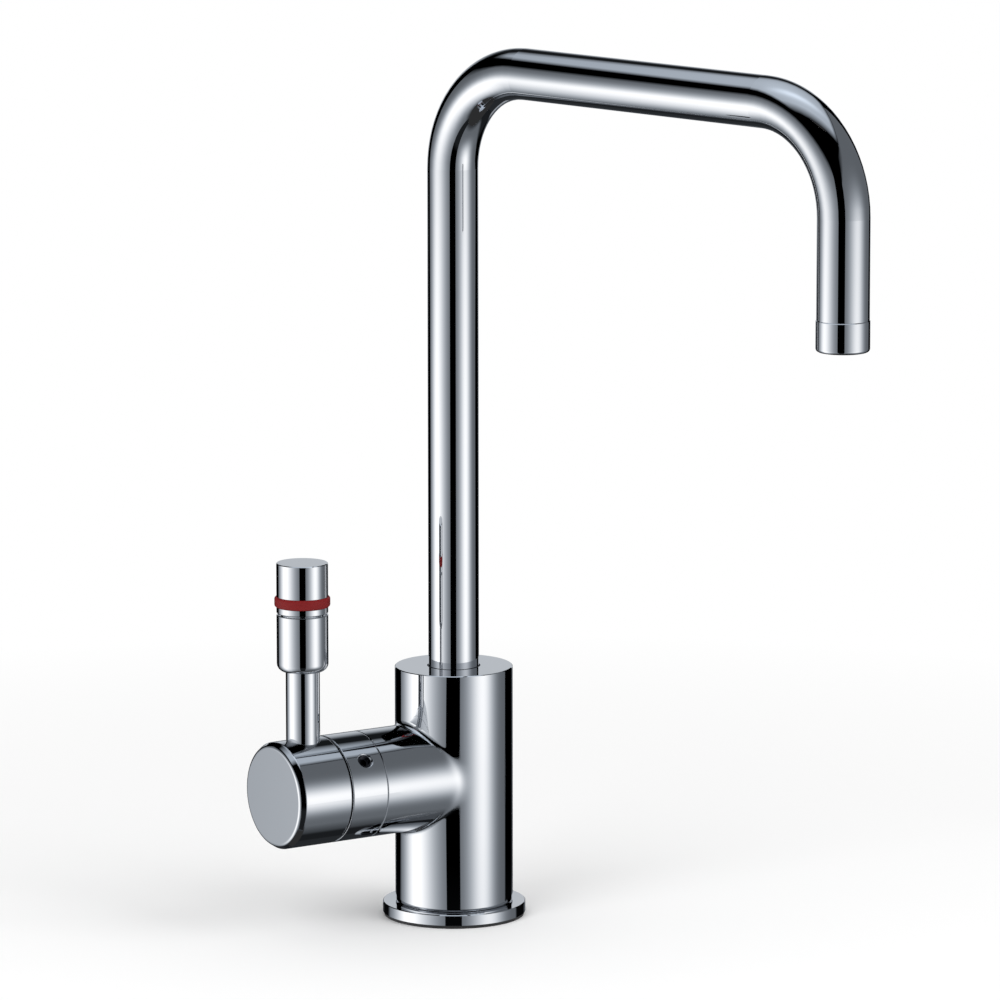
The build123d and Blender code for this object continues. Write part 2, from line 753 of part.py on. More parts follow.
band_thickness = band_groove + band_stand_out - static_clearance
with BuildPart() as indicator_ring:
    with BuildSketch(lever_profile):
        with Locations((sleeve_r + band_stand_out - band_thickness / 2, band_z + band_height / 2)):
            Rectangle(band_thickness, band_height - 2 * static_clearance)
    revolve(axis=lever_axis)
    band_rims = indicator_ring.edges().filter_by(GeomType.CIRCLE).group_by(SortBy.RADIUS)[-1]
    fillet(band_rims, radius=band_round)

with BuildPart() as lock_pin:
    with BuildSketch(lever_section.offset(pin_tip_z)):
        Circle(pin_r)
    extrude(amount=pin_top_z - pin_tip_z)
    with BuildSketch(lever_section.offset(chamber_z)):
        Circle(pin_collar_r)
    extrude(amount=pin_collar_t)

# ---------------------------------------------------------------- spout

with BuildPart() as spout_tube:
    with BuildLine(spout_side):
        centre_line = FilletPolyline(
            (0, tube_z),
            (0, spout_height),
            (spout_reach, spout_height),
            (spout_reach, outlet_joint_z),
            radius=spout_bend_r,
        )
    with BuildSketch(Plane.XY.offset(tube_z)):
        Circle(tube_r)
        Circle(tube_bore_r, mode=Mode.SUBTRACT)
    sweep(path=centre_line)

insert_oring_places = [insert_z + first_oring + i * oring_pitch for i in range(2)]
insert_groove_r = groove_floor(socket_r)
with BuildPart() as spout_insert:
    with BuildSketch(Plane.XY.offset(insert_z)):
        Circle(insert_r)
    extrude(amount=insert_l)
    with BuildSketch(Plane.XY.offset(tube_z)):
        Circle(tube_bore_r - static_clearance)
    extrude(amount=insert_spigot_l)
    for place in insert_oring_places:
        with BuildSketch(Plane.XY.offset(place)):
            Circle(socket_r)
            Circle(insert_groove_r, mode=Mode.SUBTRACT)
        extrude(amount=oring_r + oring_squash, both=True, mode=Mode.SUBTRACT)
    with BuildSketch(Plane.XY.offset(keeper_z)):
        Circle(socket_r)
        Circle(insert_r - keeper_depth, mode=Mode.SUBTRACT)
    extrude(amount=keeper_width / 2, both=True, mode=Mode.SUBTRACT)
    with BuildSketch(Plane.XY.offset(insert_z)):
        Circle(insert_bore_r)
    extrude(amount=insert_l + insert_spigot_l, mode=Mode.SUBTRACT)

spout_orings = make_orings(
    body_profile, Axis.Z, [((insert_groove_r + socket_r) / 2, place) for place in insert_oring_places]
)

spout_guide_ring = make_ring(
    Plane.XY.offset(body_height - guide_ring_drop - guide_ring_l),
    socket_r - static_clearance,
    tube_r + running_clearance,
    guide_ring_l,
)

spout_thrust_washer = make_ring(
    Plane.XY.offset(socket_z), socket_r - static_clearance, thrust_washer_bore, thrust_washer_t
)

spout_grub_screw = make_grub_screw(
    spout_screw_plane(insert_r - keeper_depth + spout_screw_gap),
    spout_screw_l,
    spout_screw_tip_r,
    keeper_depth,
)

# ---------------------------------------------------------------- outlet

outlet_adapter = make_ring(outlet_section.offset(adapter_z), adapter_r, adapter_bore_r, adapter_l)

with BuildPart() as outlet_housing:
    with BuildSketch(outlet_profile):
        Polygon(
            (housing_mouth_r, outlet_mouth_z),
            (housing_r, outlet_mouth_z),
            (housing_r, outlet_joint_z - face_play),
            (housing_bore_r, outlet_joint_z - face_play),
            (housing_bore_r, lip_z),
            (housing_mouth_r, lip_z),
            align=None,
        )
    revolve(axis=outlet_axis)
    housing_rims = outlet_housing.edges().filter_by(GeomType.CIRCLE).group_by(SortBy.RADIUS)[-1]
    fillet(housing_rims.sort_by(Axis.Z)[0], radius=housing_round)
    chamfer(housing_rims.sort_by(Axis.Z)[-1], length=edge_break)

outlet_washer = make_ring(
    outlet_section.offset(straightener_top_z), outlet_ring_r, washer_bore_r, washer_t
)

with BuildPart() as flow_straightener:
    with BuildSketch(outlet_section.offset(lip_z)):
        Circle(outlet_ring_r)
    extrude(amount=straightener_flange_t)
    with BuildSketch(outlet_section.offset(straightener_z)):
        Circle(housing_mouth_r - 2 * static_clearance)
    extrude(amount=straightener_drop)
    with BuildSketch(outlet_section.offset(straightener_z)):
        with Locations(*hexagonal_grid(honeycomb_pitch, honeycomb_rings)):
            RegularPolygon(honeycomb_flats / 2, 6, major_radius=False, rotation=30)
    extrude(amount=straightener_top_z - straightener_z, mode=Mode.SUBTRACT)

with BuildPart() as outlet_screen:
    with BuildSketch(outlet_section.offset(straightener_top_z)):
        Circle(screen_r)
        with Locations(*hexagonal_grid(screen_pitch, screen_rings)):
            Rectangle(screen_hole, screen_hole, mode=Mode.SUBTRACT)
    extrude(amount=screen_t)

# ---------------------------------------------------------------- files

pieces = {
    "base_gasket": base_gasket,
    "base_flange": base_flange.part,
    "base_connector": base_connector.part,
    "connector_oring": connector_oring,
    "tap_body": tap_body.part,
    "spout_guide_ring": spout_guide_ring,
    "spout_thrust_washer": spout_thrust_washer,
    "spout_grub_screw": spout_grub_screw,
    "bonnet_ring": bonnet_ring.part,
    "bonnet_grub_screw": bonnet_grub_screw,
    "cartridge_body": cartridge_body.part,
    "cartridge_oring": cartridge_oring,
    "seat_seal": seat_seal,
    "fixed_ceramic_disc": fixed_ceramic_disc.part,
    "stop_ring": stop_ring.part,
    "spout_tube": spout_tube.part,
    "spout_insert": spout_insert.part,
    "spout_orings": spout_orings,
    "outlet_adapter": outlet_adapter,
    "outlet_housing": outlet_housing.part,
    "outlet_washer": outlet_washer,
    "outlet_screen": outlet_screen.part,
    "flow_straightener": flow_straightener.part,
    "handle_hub": handle_hub.part,
    "hub_grub_screw": hub_grub_screw,
    "valve_spindle": valve_spindle.part,
    "slip_washer": slip_washer,
    "spindle_orings": spindle_orings,
    "spindle_circlip": spindle_circlip.part,
    "moving_ceramic_disc": moving_ceramic_disc.part,
    "lever_stem": lever_stem.part,
    "lever_sleeve": lever_sleeve.part,
    "lock_bush": lock_bush.part,
    "lock_spring": lock_spring.part,
    "lock_knob": lock_knob.part,
    "indicator_ring": indicator_ring.part,
    "lock_pin": lock_pin.part,
}

os.makedirs("parts", exist_ok=True)
for name, piece in pieces.items():
    piece.label = name
    export_step(piece, f"parts/{name}.step")
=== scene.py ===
"""Finishes, fine detail and studio for a boiling water tap.

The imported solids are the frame. This script gives each of them its finish and adds what is too fine
for the solids: two threads, a woven screen and a coiled spring. It also sets the camera, the lamps
and a light tent. Sizes are in millimetres and angles in degrees unless a name or a docstring says
otherwise, and Blender gets metres.
"""

import logging
import math
from dataclasses import dataclass, field
from enum import Enum
from functools import cache, reduce

import bmesh
import bpy
from bpy.types import Material, Node, NodeSocket, NodeTree, Object
from mathutils import Matrix, Vector


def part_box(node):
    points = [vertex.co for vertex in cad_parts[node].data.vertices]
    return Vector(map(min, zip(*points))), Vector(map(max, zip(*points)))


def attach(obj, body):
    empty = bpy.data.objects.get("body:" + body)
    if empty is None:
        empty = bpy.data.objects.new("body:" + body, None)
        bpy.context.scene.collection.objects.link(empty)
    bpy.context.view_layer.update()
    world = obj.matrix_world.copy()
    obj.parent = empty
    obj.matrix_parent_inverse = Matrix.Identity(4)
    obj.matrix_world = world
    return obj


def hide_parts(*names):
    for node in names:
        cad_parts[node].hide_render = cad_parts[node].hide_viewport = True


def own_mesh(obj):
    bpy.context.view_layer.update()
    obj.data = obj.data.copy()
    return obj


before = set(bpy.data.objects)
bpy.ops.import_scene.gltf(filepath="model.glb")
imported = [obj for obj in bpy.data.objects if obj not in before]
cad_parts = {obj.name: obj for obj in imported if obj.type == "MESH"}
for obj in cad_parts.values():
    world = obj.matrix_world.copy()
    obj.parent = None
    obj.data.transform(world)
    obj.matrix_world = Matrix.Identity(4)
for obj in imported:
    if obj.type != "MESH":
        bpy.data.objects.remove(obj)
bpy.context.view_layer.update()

log = logging.getLogger("boiling_water_tap")

MM = 0.001
UPRIGHT = (0.0, 0.0, 1.0)
WHITE = (1.0, 1.0, 1.0, 1.0)
# Side of the tap that the studio and its camera face, from the X axis.
FRONT_BEARING = -123.335

BMesh = bmesh.types.BMesh
Pair = tuple[float, float]
Stops = tuple[Pair, ...]
Triple = tuple[float, float, float]
Feed = float | tuple | NodeSocket


# ---- names and axes


class Body(Enum):
    """Moving groups of the tap that new pieces ride on, as the joints name them."""

    BASE = "tap_base"
    SPOUT = "spout"
    LEVER = "lever"


class Slot(Enum):
    """Material slots of the record."""

    CHROME = "chrome"
    BRASS = "brass"
    RUBBER = "black_rubber"
    CLEAR = "clear_silicone"
    RED = "red_silicone"
    SLIDE = "black_slide_plastic"
    WHITE = "white_plastic"
    CERAMIC = "ceramic"
    STEEL = "steel"
    BLACKED = "black_oxide_steel"


class Spindle(Enum):
    """Axes that pieces are turned about: a point on the axis, and its tilt from upright."""

    COLUMN = ((0.0, 0.0, 0.0), (0.0, 0.0, 0.0))
    BRANCH = ((0.0, 0.0, 52.0), (0.0, -90.0, 0.0))
    LEVER = ((-63.5, 0.0, 0.0), (0.0, 0.0, 0.0))
    OUTLET = ((37.36, -181.19, 0.0), (0.0, 0.0, 0.0))


class Socket(Enum):
    """Kinds of socket on an effect group."""

    NUMBER = "NodeSocketFloat"
    COLOUR = "NodeSocketColor"
    VECTOR = "NodeSocketVector"


Labels = dict[Socket, tuple[str, ...]]


# ---- shader building


class NodeSheet:
    """Adds nodes to one node tree and joins them."""

    def __init__(self, tree: NodeTree) -> None:
        """Takes the tree to draw on, of a material, a world or a group."""
        self.tree = tree

    def feed(self, socket: NodeSocket, value: Feed) -> None:
        """Sets a socket, or joins another socket to it.

        Args:
            socket: Input to fill.
            value: Number, tuple or output socket.
        """
        if isinstance(value, NodeSocket):
            self.tree.links.new(value, socket)
        else:
            socket.default_value = value

    def fill(self, node: Node, feeds: dict[str | int, Feed]) -> None:
        """Feeds a node's inputs, by name or number."""
        for name, value in feeds.items():
            self.feed(node.inputs[name], value)

    def add(
        self, kind: str, feeds: dict[str | int, Feed] | None = None, **settings: object
    ) -> Node:
        """Adds a node.

        Args:
            kind: Blender's name of the node type.
            feeds: What goes into its inputs, by name or number.
            settings: Properties of the node itself.

        Returns:
            The new node.
        """
        node = self.tree.nodes.new(kind)
        for name, value in settings.items():
            setattr(node, name, value)
        self.fill(node, feeds or {})
        return node

    def math(self, operation: str, *values: Feed) -> NodeSocket:
        """Result of a Math node on its operands."""
        return self.add("ShaderNodeMath", dict(enumerate(values)), operation=operation).outputs[0]

    def fold(self, operation: str, *values: Feed) -> NodeSocket:
        """Result of Math nodes that take in one value after another."""
        return reduce(lambda so_far, value: self.math(operation, so_far, value), values)

    def product(self, *values: Feed) -> NodeSocket:
        """Values multiplied together."""
        return self.fold("MULTIPLY", *values)

    def total(self, *values: Feed) -> NodeSocket:
        """Values added up."""
        return self.fold("ADD", *values)

    def bell(self, *squares: NodeSocket) -> NodeSocket:
        """Bell curve of squared distances: 1 where they are 0, and falling with their sum."""
        return self.math("EXPONENT", self.product(self.total(*squares), -0.5))

    def spread(
        self, value: Feed, low: float, high: float, at_low: float = 0.0, at_high: float = 1.0
    ) -> NodeSocket:
        """Maps low to high linearly to at_low to at_high, and holds the result at both ends."""
        node = self.add("ShaderNodeMapRange", {0: value, 1: low, 2: high, 3: at_low, 4: at_high})
        return node.outputs[0]

    def ramp(self, value: Feed, span: Pair, stops: Stops) -> NodeSocket:
        """Maps a value through straight runs between stops.

        Args:
            value: What is mapped.
            span: Range that the stops lie in.
            stops: Pairs of value and result.

        Returns:
            The result's socket.
        """
        low, high = span
        node = self.add("ShaderNodeValToRGB", {0: self.spread(value, low, high)})
        points = node.color_ramp.elements
        shares = [(place - low) / (high - low) for place, _ in stops]
        points[0].position, points[1].position = shares[0], shares[-1]
        for share in shares[1:-1]:
            points.new(share)
        for point, (_, level) in zip(points, stops):
            point.color = (level, level, level, 1.0)
        return self.add("ShaderNodeSeparateColor", {0: node.outputs[0]}).outputs[0]

    def blend(self, share: Feed, first: Feed, second: Feed) -> NodeSocket:
        """Mixes two colours; the share is the second one's."""
        # The colour sockets stand behind those for numbers and vectors.
        node = self.add("ShaderNodeMix", {0: share, 6: first, 7: second}, data_type="RGBA")
        return node.outputs[2]

    def mix(self, share: Feed, first: NodeSocket, second: NodeSocket) -> NodeSocket:
        """Mixes two shaders; the share is the second one's."""
        return self.add("ShaderNodeMixShader", {0: share, 1: first, 2: second}).outputs[0]

    def emission(self, colour: Feed, strength: Feed) -> NodeSocket:
        """Shader of a surface that glows evenly."""
        return self.add("ShaderNodeEmission", {"Color": colour, "Strength": strength}).outputs[0]

    def noise(self, vector: Feed, scale: Feed, detail: float) -> NodeSocket:
        """Value of a noise texture, from its grains per metre and its octaves."""
        node = self.add("ShaderNodeTexNoise", {"Vector": vector, "Scale": scale, "Detail": detail})
        return node.outputs["Fac"]

    def parts(self, vector: Feed) -> list[NodeSocket]:
        """X, Y and Z of a vector."""
        return list(self.add("ShaderNodeSeparateXYZ", {0: vector}).outputs)

    def place(self, origin: Triple, tilt: Triple, unit: float) -> NodeSocket:
        """Finds the place of a surface's point in a frame of its own.

        Args:
            origin: Where that frame stands.
            tilt: How it is turned about X, Y and Z.
            unit: Length in metres that counts as one in it.

        Returns:
            Socket of the place.
        """
        feeds = {
            "Vector": self.add("ShaderNodeTexCoord").outputs["Object"],
            "Location": tuple(part * MM for part in origin),
            "Rotation": tuple(math.radians(angle) for angle in tilt),
            "Scale": (unit, unit, unit),
        }
        return self.add("ShaderNodeMapping", feeds, vector_type="TEXTURE").outputs[0]


def rgba(colour: Triple) -> tuple[float, float, float, float]:
    """Colour with full alpha."""
    return (*colour, 1.0)


def new_group(
    name: str, inputs: Labels, outputs: Labels
) -> tuple[NodeSheet, list[NodeSocket], Node]:
    """Starts a shader node group.

    Args:
        name: Name of the group.
        inputs: Names of its inputs by kind.
        outputs: Names of its outputs by kind.

    Returns:
        The group's sheet, the values of its inputs in order, and its output node.
    """
    tree = bpy.data.node_groups.new(name, "ShaderNodeTree")
    for in_out, kinds in (("INPUT", inputs), ("OUTPUT", outputs)):
        for kind, labels in kinds.items():
            for label in labels:
                tree.interface.new_socket(name=label, in_out=in_out, socket_type=kind.value)
    sheet = NodeSheet(tree)
    source = sheet.add("NodeGroupInput")
    values = [source.outputs[label] for labels in inputs.values() for label in labels]
    return sheet, values, sheet.add("NodeGroupOutput")


@cache
def polish_haze_group() -> NodeTree:
    """Makes the cloudy gloss of a buffed surface: wiping haze and a faint swell.

    Returns:
        The group.
    """
    stretch, cloud_edges = (9.0, 9.0, 1.0), (0.35, 0.75)
    sheet, (vector, cloud_scale, gloss, haze), target = new_group(
        "polish_haze",
        {Socket.VECTOR: ("Vector",), Socket.NUMBER: ("Cloud Scale", "Gloss", "Haze")},
        {Socket.NUMBER: ("Roughness", "Height")},
    )
    clouds = sheet.noise(vector, cloud_scale, detail=3.0)
    stretched = sheet.add("ShaderNodeMapping", {"Vector": vector, "Scale": stretch})
    wiping = sheet.noise(stretched.outputs[0], cloud_scale, detail=4.0)
    mask = sheet.product(sheet.spread(clouds, *cloud_edges), wiping)
    roughness = sheet.math("MULTIPLY_ADD", mask, haze, gloss)
    sheet.fill(target, {"Roughness": roughness, "Height": clouds})
    return sheet.tree


@cache
def lathe_marks_group() -> NodeTree:
    """Makes fine rings round the Z axis of the vector, as a lathe's tool leaves them.

    Returns:
        The group.
    """
    stain_scale = 260.0
    sheet, (vector, pitch_scale, gloss, depth), target = new_group(
        "lathe_marks",
        {Socket.VECTOR: ("Vector",), Socket.NUMBER: ("Pitch Scale", "Gloss", "Depth")},
        {Socket.NUMBER: ("Roughness", "Height", "Mask")},
    )
    x, y, z = sheet.parts(vector)
    radius = sheet.math("SQRT", sheet.math("MULTIPLY_ADD", y, y, sheet.product(x, x)))
    profile = sheet.add("ShaderNodeCombineXYZ", {0: radius, 1: z})
    rings = sheet.noise(profile.outputs[0], pitch_scale, detail=3.0)
    roughness = sheet.math("MULTIPLY_ADD", rings, depth, gloss)
    stains = sheet.noise(vector, stain_scale, detail=4.0)
    sheet.fill(target, {"Roughness": roughness, "Height": rings, "Mask": stains})
    return sheet.tree


@cache
def moulded_grain_group() -> NodeTree:
    """Makes the grain of a moulded surface: fine pits and slow changes of shade.

    Returns:
        The group.
    """
    patch_scale, patch_edges = 180.0, (0.3, 0.7)
    sheet, (vector, colour, shade, grain_scale, gloss, gloss_spread), target = new_group(
        "moulded_grain",
        {
            Socket.VECTOR: ("Vector",),
            Socket.COLOUR: ("Colour", "Shade"),
            Socket.NUMBER: ("Grain Scale", "Gloss", "Spread"),
        },
        {Socket.COLOUR: ("Colour",), Socket.NUMBER: ("Roughness", "Height")},
    )
    grain = sheet.noise(vector, grain_scale, detail=5.0)
    patches = sheet.noise(vector, patch_scale, detail=2.0)
    share = sheet.product(sheet.spread(patches, *patch_edges), grain)
    roughness = sheet.math("MULTIPLY_ADD", grain, gloss_spread, gloss)
    tone = sheet.blend(share, colour, shade)
    sheet.fill(target, {"Colour": tone, "Roughness": roughness, "Height": grain})
    return sheet.tree


@cache
def glow_group() -> NodeTree:
    """Makes the hot spot of a diffuser with a lamp behind it, spread its own way to each side.

    Returns:
        The group.
    """
    names = ("Bearing", "Height", "Centre", "Inner Spread", "Outer Spread")
    names += ("Middle", "Upper Spread", "Lower Spread")
    sheet, (bearing, height, centre, inner, outer, middle, upper, lower), target = new_group(
        "diffuser_glow", {Socket.NUMBER: names}, {Socket.NUMBER: ("Glow",)}
    )

    def falloff(value: NodeSocket, peak: NodeSocket, below: Feed, above: Feed) -> NodeSocket:
        """Squares the distance from the peak, in spreads of the side that it lies on.

        Args:
            value: Place on one axis.
            peak: Place of the peak on it.
            below: Spread on the side of lower values.
            above: Spread on the side of higher ones.

        Returns:
            The result's socket.
        """
        away = sheet.math("SUBTRACT", value, peak)
        side = sheet.math("GREATER_THAN", away, 0.0)
        width = sheet.add("ShaderNodeMix", {0: side, 2: below, 3: above}).outputs[0]
        share = sheet.math("DIVIDE", away, width)
        return sheet.product(share, share)

    squares = (falloff(bearing, centre, inner, outer), falloff(height, middle, lower, upper))
    sheet.fill(target, {"Glow": sheet.bell(*squares)})
    return sheet.tree


class Shader:
    """One material with a Principled shader, read in a turning axis's own frame."""

    def __init__(self, name: str, spindle: Spindle) -> None:
        """Makes the material and the coordinates of its pattern.

        Args:
            name: Name of the material.
            spindle: Axis that the pattern is centred on.
        """
        self.material = bpy.data.materials.new(name)
        self.material.use_nodes = True
        self.sheet = NodeSheet(self.material.node_tree)
        self.principled = self.material.node_tree.nodes["Principled BSDF"]
        self.vector = self.sheet.place(*spindle.value, unit=1.0)

    def effect(self, tree: NodeTree, feeds: dict[str, Feed]) -> Node:
        """Places an effect group, which reads the pattern's coordinates."""
        return self.sheet.add("ShaderNodeGroup", {"Vector": self.vector, **feeds}, node_tree=tree)

    def set(self, **feeds: Feed) -> None:
        """Fills the Principled shader's sockets; an underscore in a name stands for a space."""
        spaced = {name.replace("_", " "): value for name, value in feeds.items()}
        self.sheet.fill(self.principled, spaced)

    def bevel(self, radius: Feed, samples: int) -> NodeSocket:
        """Normal that is rounded over edges, with a radius in metres."""
        return self.sheet.add("ShaderNodeBevel", {"Radius": radius}, samples=samples).outputs[0]

    def bump(self, height: Feed, distance: float, ground: NodeSocket | None = None) -> None:
        """Feeds a height to the shader's normal.

        Args:
            height: Height from 0 to 1.
            distance: Depth of the relief.
            ground: Normal that the relief stands on, where it isn't the surface's own.
        """
        feeds = {"Height": height, "Distance": distance * MM, "Strength": 1.0}
        if ground is not None:
            feeds["Normal"] = ground
        self.set(Normal=self.sheet.add("ShaderNodeBump", feeds).outputs[0])


# ---- finishes


@dataclass(frozen=True)
class Finish:
    """Look of a surface, from which each turning axis gets a material of its own."""

    def fill(self, shader: Shader) -> None:
        """Sets up the shader; each kind of finish does it its own way."""
        raise NotImplementedError

    def material(self, name: str, spindle: Spindle) -> Material:
        """Makes the material of the finish for pieces about one axis.

        Args:
            name: Name of the material.
            spindle: Axis that its pattern is centred on.

        Returns:
            The material.
        """
        shader = Shader(name, spindle)
        self.fill(shader)
        return shader.material


@dataclass(frozen=True)
class ChromePlate(Finish):
    """Bright nickel-chrome plate on polished brass."""

    colour: Triple = (0.80, 0.81, 0.83)
    shade: Triple = (0.77, 0.785, 0.81)
    gloss: float = 0.02
    haze: float = 0.05
    cloud_scale: float = 38.0
    swell: float = 0.0006

    def ground(self, shader: Shader) -> NodeSocket | None:
        """Normal that the polish swells from; none is the surface's own."""
        return None

    def fill(self, shader: Shader) -> None:
        """Sets up a mirror with a breath of haze on it.

        Args:
            shader: Shader of the material.
        """
        feeds = {"Cloud Scale": self.cloud_scale, "Gloss": self.gloss, "Haze": self.haze}
        haze = shader.effect(polish_haze_group(), feeds)
        tone = shader.sheet.blend(haze.outputs["Height"], rgba(self.colour), rgba(self.shade))
        shader.set(Metallic=1.0, Base_Color=tone, Roughness=haze.outputs["Roughness"])
        shader.bump(haze.outputs["Height"], self.swell, self.ground(shader))


@dataclass(frozen=True)
class CreasedPlate(ChromePlate):
    """Chrome over a casting whose branch runs softly into its column at the branch's sides."""

    branch_height: float = 52.0
    reach: float = 6.0
    full_within: float = 6.0
    gone_beyond: float = 15.0
    crease_end: float = -30.0
    plain_from: float = -36.0
    samples: int = 16

    def ground(self, shader: Shader) -> NodeSocket | None:
        """Rounds the normal over the crease.

        Args:
            shader: Shader of the material.

        Returns:
            Socket of the normal.
        """
        sheet = shader.sheet
        out, _, up = sheet.parts(shader.vector)
        off = sheet.math("ABSOLUTE", sheet.math("SUBTRACT", up, self.branch_height * MM))
        share = sheet.spread(off, self.full_within * MM, self.gone_beyond * MM, 1.0, 0.0)
        near = sheet.spread(out, self.plain_from * MM, self.crease_end * MM)
        return shader.bevel(sheet.product(share, near, self.reach * MM), self.samples)


@dataclass(frozen=True)
class EdgedPlate(ChromePlate):
    """Chrome over turned parts whose edges were broken before plating."""

    edge: float = 0.42
    samples: int = 12

    def ground(self, shader: Shader) -> NodeSocket | None:
        """Normal that is rounded over the edges."""
        return shader.bevel(self.edge * MM, self.samples)


@dataclass(frozen=True)
class TurnedMetal(Finish):
    """Bare metal with the rings of its turning."""

    colour: Triple
    shade: Triple
    gloss: float = 0.18
    ring_spread: float = 0.16
    ring_scale: float = 5200.0
    ring_depth: float = 0.006

    def fill(self, shader: Shader) -> None:
        """Sets up a metal that is stained a little and ringed.

        Args:
            shader: Shader of the material.
        """
        feeds = {"Pitch Scale": self.ring_scale, "Gloss": self.gloss, "Depth": self.ring_spread}
        marks = shader.effect(lathe_marks_group(), feeds)
        tone = shader.sheet.blend(marks.outputs["Mask"], rgba(self.colour), rgba(self.shade))
        shader.set(Metallic=1.0, Base_Color=tone, Roughness=marks.outputs["Roughness"])
        shader.bump(marks.outputs["Height"], self.ring_depth)


@dataclass(frozen=True)
class Moulded(Finish):
    """Rubber, silicone, plastic or sintered ceramic from a mould."""

    colour: Triple
    shade: Triple
    gloss: float
    gloss_spread: float
    grain_scale: float = 1400.0
    grain_depth: float = 0.01
    specular: float = 0.5
    coat: float = 0.0
    sheen: float = 0.0
    translucence: float = 0.0
    bleed: float = 0.5
    see_through: float = 0.0

    def fill(self, shader: Shader) -> None:
        """Sets up a grained surface, which lets light in where it is translucent.

        Args:
            shader: Shader of the material.
        """
        feeds = {
            "Grain Scale": self.grain_scale,
            "Colour": rgba(self.colour),
            "Shade": rgba(self.shade),
            "Gloss": self.gloss,
            "Spread": self.gloss_spread,
        }
        grain = shader.effect(moulded_grain_group(), feeds)
        shader.set(
            Base_Color=grain.outputs["Colour"],
            Roughness=grain.outputs["Roughness"],
            Specular_IOR_Level=self.specular,
            Coat_Weight=self.coat,
            Sheen_Weight=self.sheen,
            Subsurface_Weight=self.translucence,
            Subsurface_Scale=self.bleed * MM,
            Transmission_Weight=self.see_through,
        )
        shader.bump(grain.outputs["Height"], self.grain_depth)


FINISHES: dict[Slot, Finish] = {
    Slot.CHROME: ChromePlate(),
    Slot.BRASS: TurnedMetal((0.74, 0.57, 0.31), (0.60, 0.44, 0.22)),
    Slot.STEEL: TurnedMetal((0.58, 0.59, 0.61), (0.48, 0.49, 0.51), gloss=0.22),
    Slot.BLACKED: TurnedMetal((0.075, 0.075, 0.082), (0.045, 0.045, 0.050), gloss=0.20),
    Slot.RUBBER: Moulded(
        (0.022, 0.022, 0.023), (0.045, 0.045, 0.047), gloss=0.55, gloss_spread=0.3, sheen=0.15
    ),
    Slot.CLEAR: Moulded(
        (0.75, 0.74, 0.70), (0.68, 0.67, 0.63), gloss=0.32, gloss_spread=0.2,
        translucence=0.3, see_through=0.45,
    ),
    Slot.RED: Moulded(
        (0.215, 0.006, 0.007), (0.17, 0.005, 0.006), gloss=0.46, gloss_spread=0.2,
        specular=0.3, translucence=0.05,
    ),
    Slot.SLIDE: Moulded(
        (0.026, 0.026, 0.030), (0.040, 0.040, 0.044), gloss=0.34, gloss_spread=0.2
    ),
    Slot.WHITE: Moulded(
        (0.80, 0.80, 0.78), (0.72, 0.72, 0.70), gloss=0.36, gloss_spread=0.2, translucence=0.15
    ),
    Slot.CERAMIC: Moulded(
        (0.86, 0.85, 0.82), (0.80, 0.79, 0.75), gloss=0.12, gloss_spread=0.1,
        grain_depth=0.001, coat=0.2,
    ),
}


@cache
def finish(slot: Slot, spindle: Spindle) -> Material:
    """Material of a slot for pieces about one axis, made once for each pair."""
    return FINISHES[slot].material(f"{slot.value}_{spindle.name.lower()}", spindle)


# ---- meshes


def new_piece(name: str, shape: BMesh) -> Object:
    """Turns a finished bmesh into an object at the origin.

    Args:
        name: Name of the object.
        shape: Its mesh, in metres; it is freed.

    Returns:
        The object, linked to the scene.
    """
    mesh = bpy.data.meshes.new(name)
    shape.to_mesh(mesh)
    shape.free()
    piece = bpy.data.objects.new(name, mesh)
    bpy.context.scene.collection.objects.link(piece)
    return piece


def cover(node: str, material: Material) -> None:
    """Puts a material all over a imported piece."""
    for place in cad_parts[node].material_slots:
        place.material = material


def box_of(node: str) -> tuple[Vector, Vector]:
    """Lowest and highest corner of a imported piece's box."""
    low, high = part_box(node)
    return Vector(low) / MM, Vector(high) / MM


def turn(angle: float, axis: str) -> Matrix:
    """Turn about X, Y or Z through the origin."""
    return Matrix.Rotation(math.radians(angle), 4, axis)


# ---- sub-assemblies


def dress_in(**slots: Slot) -> dict[str, Slot]:
    """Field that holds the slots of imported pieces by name."""
    return field(default_factory=lambda: slots)


@dataclass
class Assembly:
    """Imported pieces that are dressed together, and the body that its new pieces move with."""

    spindle: Spindle
    body: Body
    dress: dict[str, Slot]

    def build(self) -> None:
        """Makes what the sub-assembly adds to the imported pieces."""

    def finish_nodes(self) -> None:
        """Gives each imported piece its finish."""
        for name, slot in self.dress.items():
            cover(name, finish(slot, self.spindle))
            log.info("dressed %s in %s", name, slot.value)

    def add(self, name: str, shape: BMesh, slot: Slot) -> Object:
        """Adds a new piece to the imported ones.

        Args:
            name: Name of the piece.
            shape: Its mesh, in millimetres; it is freed.
            slot: Material slot that it takes its finish from.

        Returns:
            The piece, which rides on the sub-assembly's body.
        """
        bmesh.ops.recalc_face_normals(shape, faces=shape.faces)
        bmesh.ops.scale(shape, vec=(MM, MM, MM), verts=shape.verts)
        piece = new_piece(name, shape)
        piece.data.materials.append(finish(slot, self.spindle))
        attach(piece, self.body.value)
        log.info("added %s in %s", name, slot.value)
        return piece


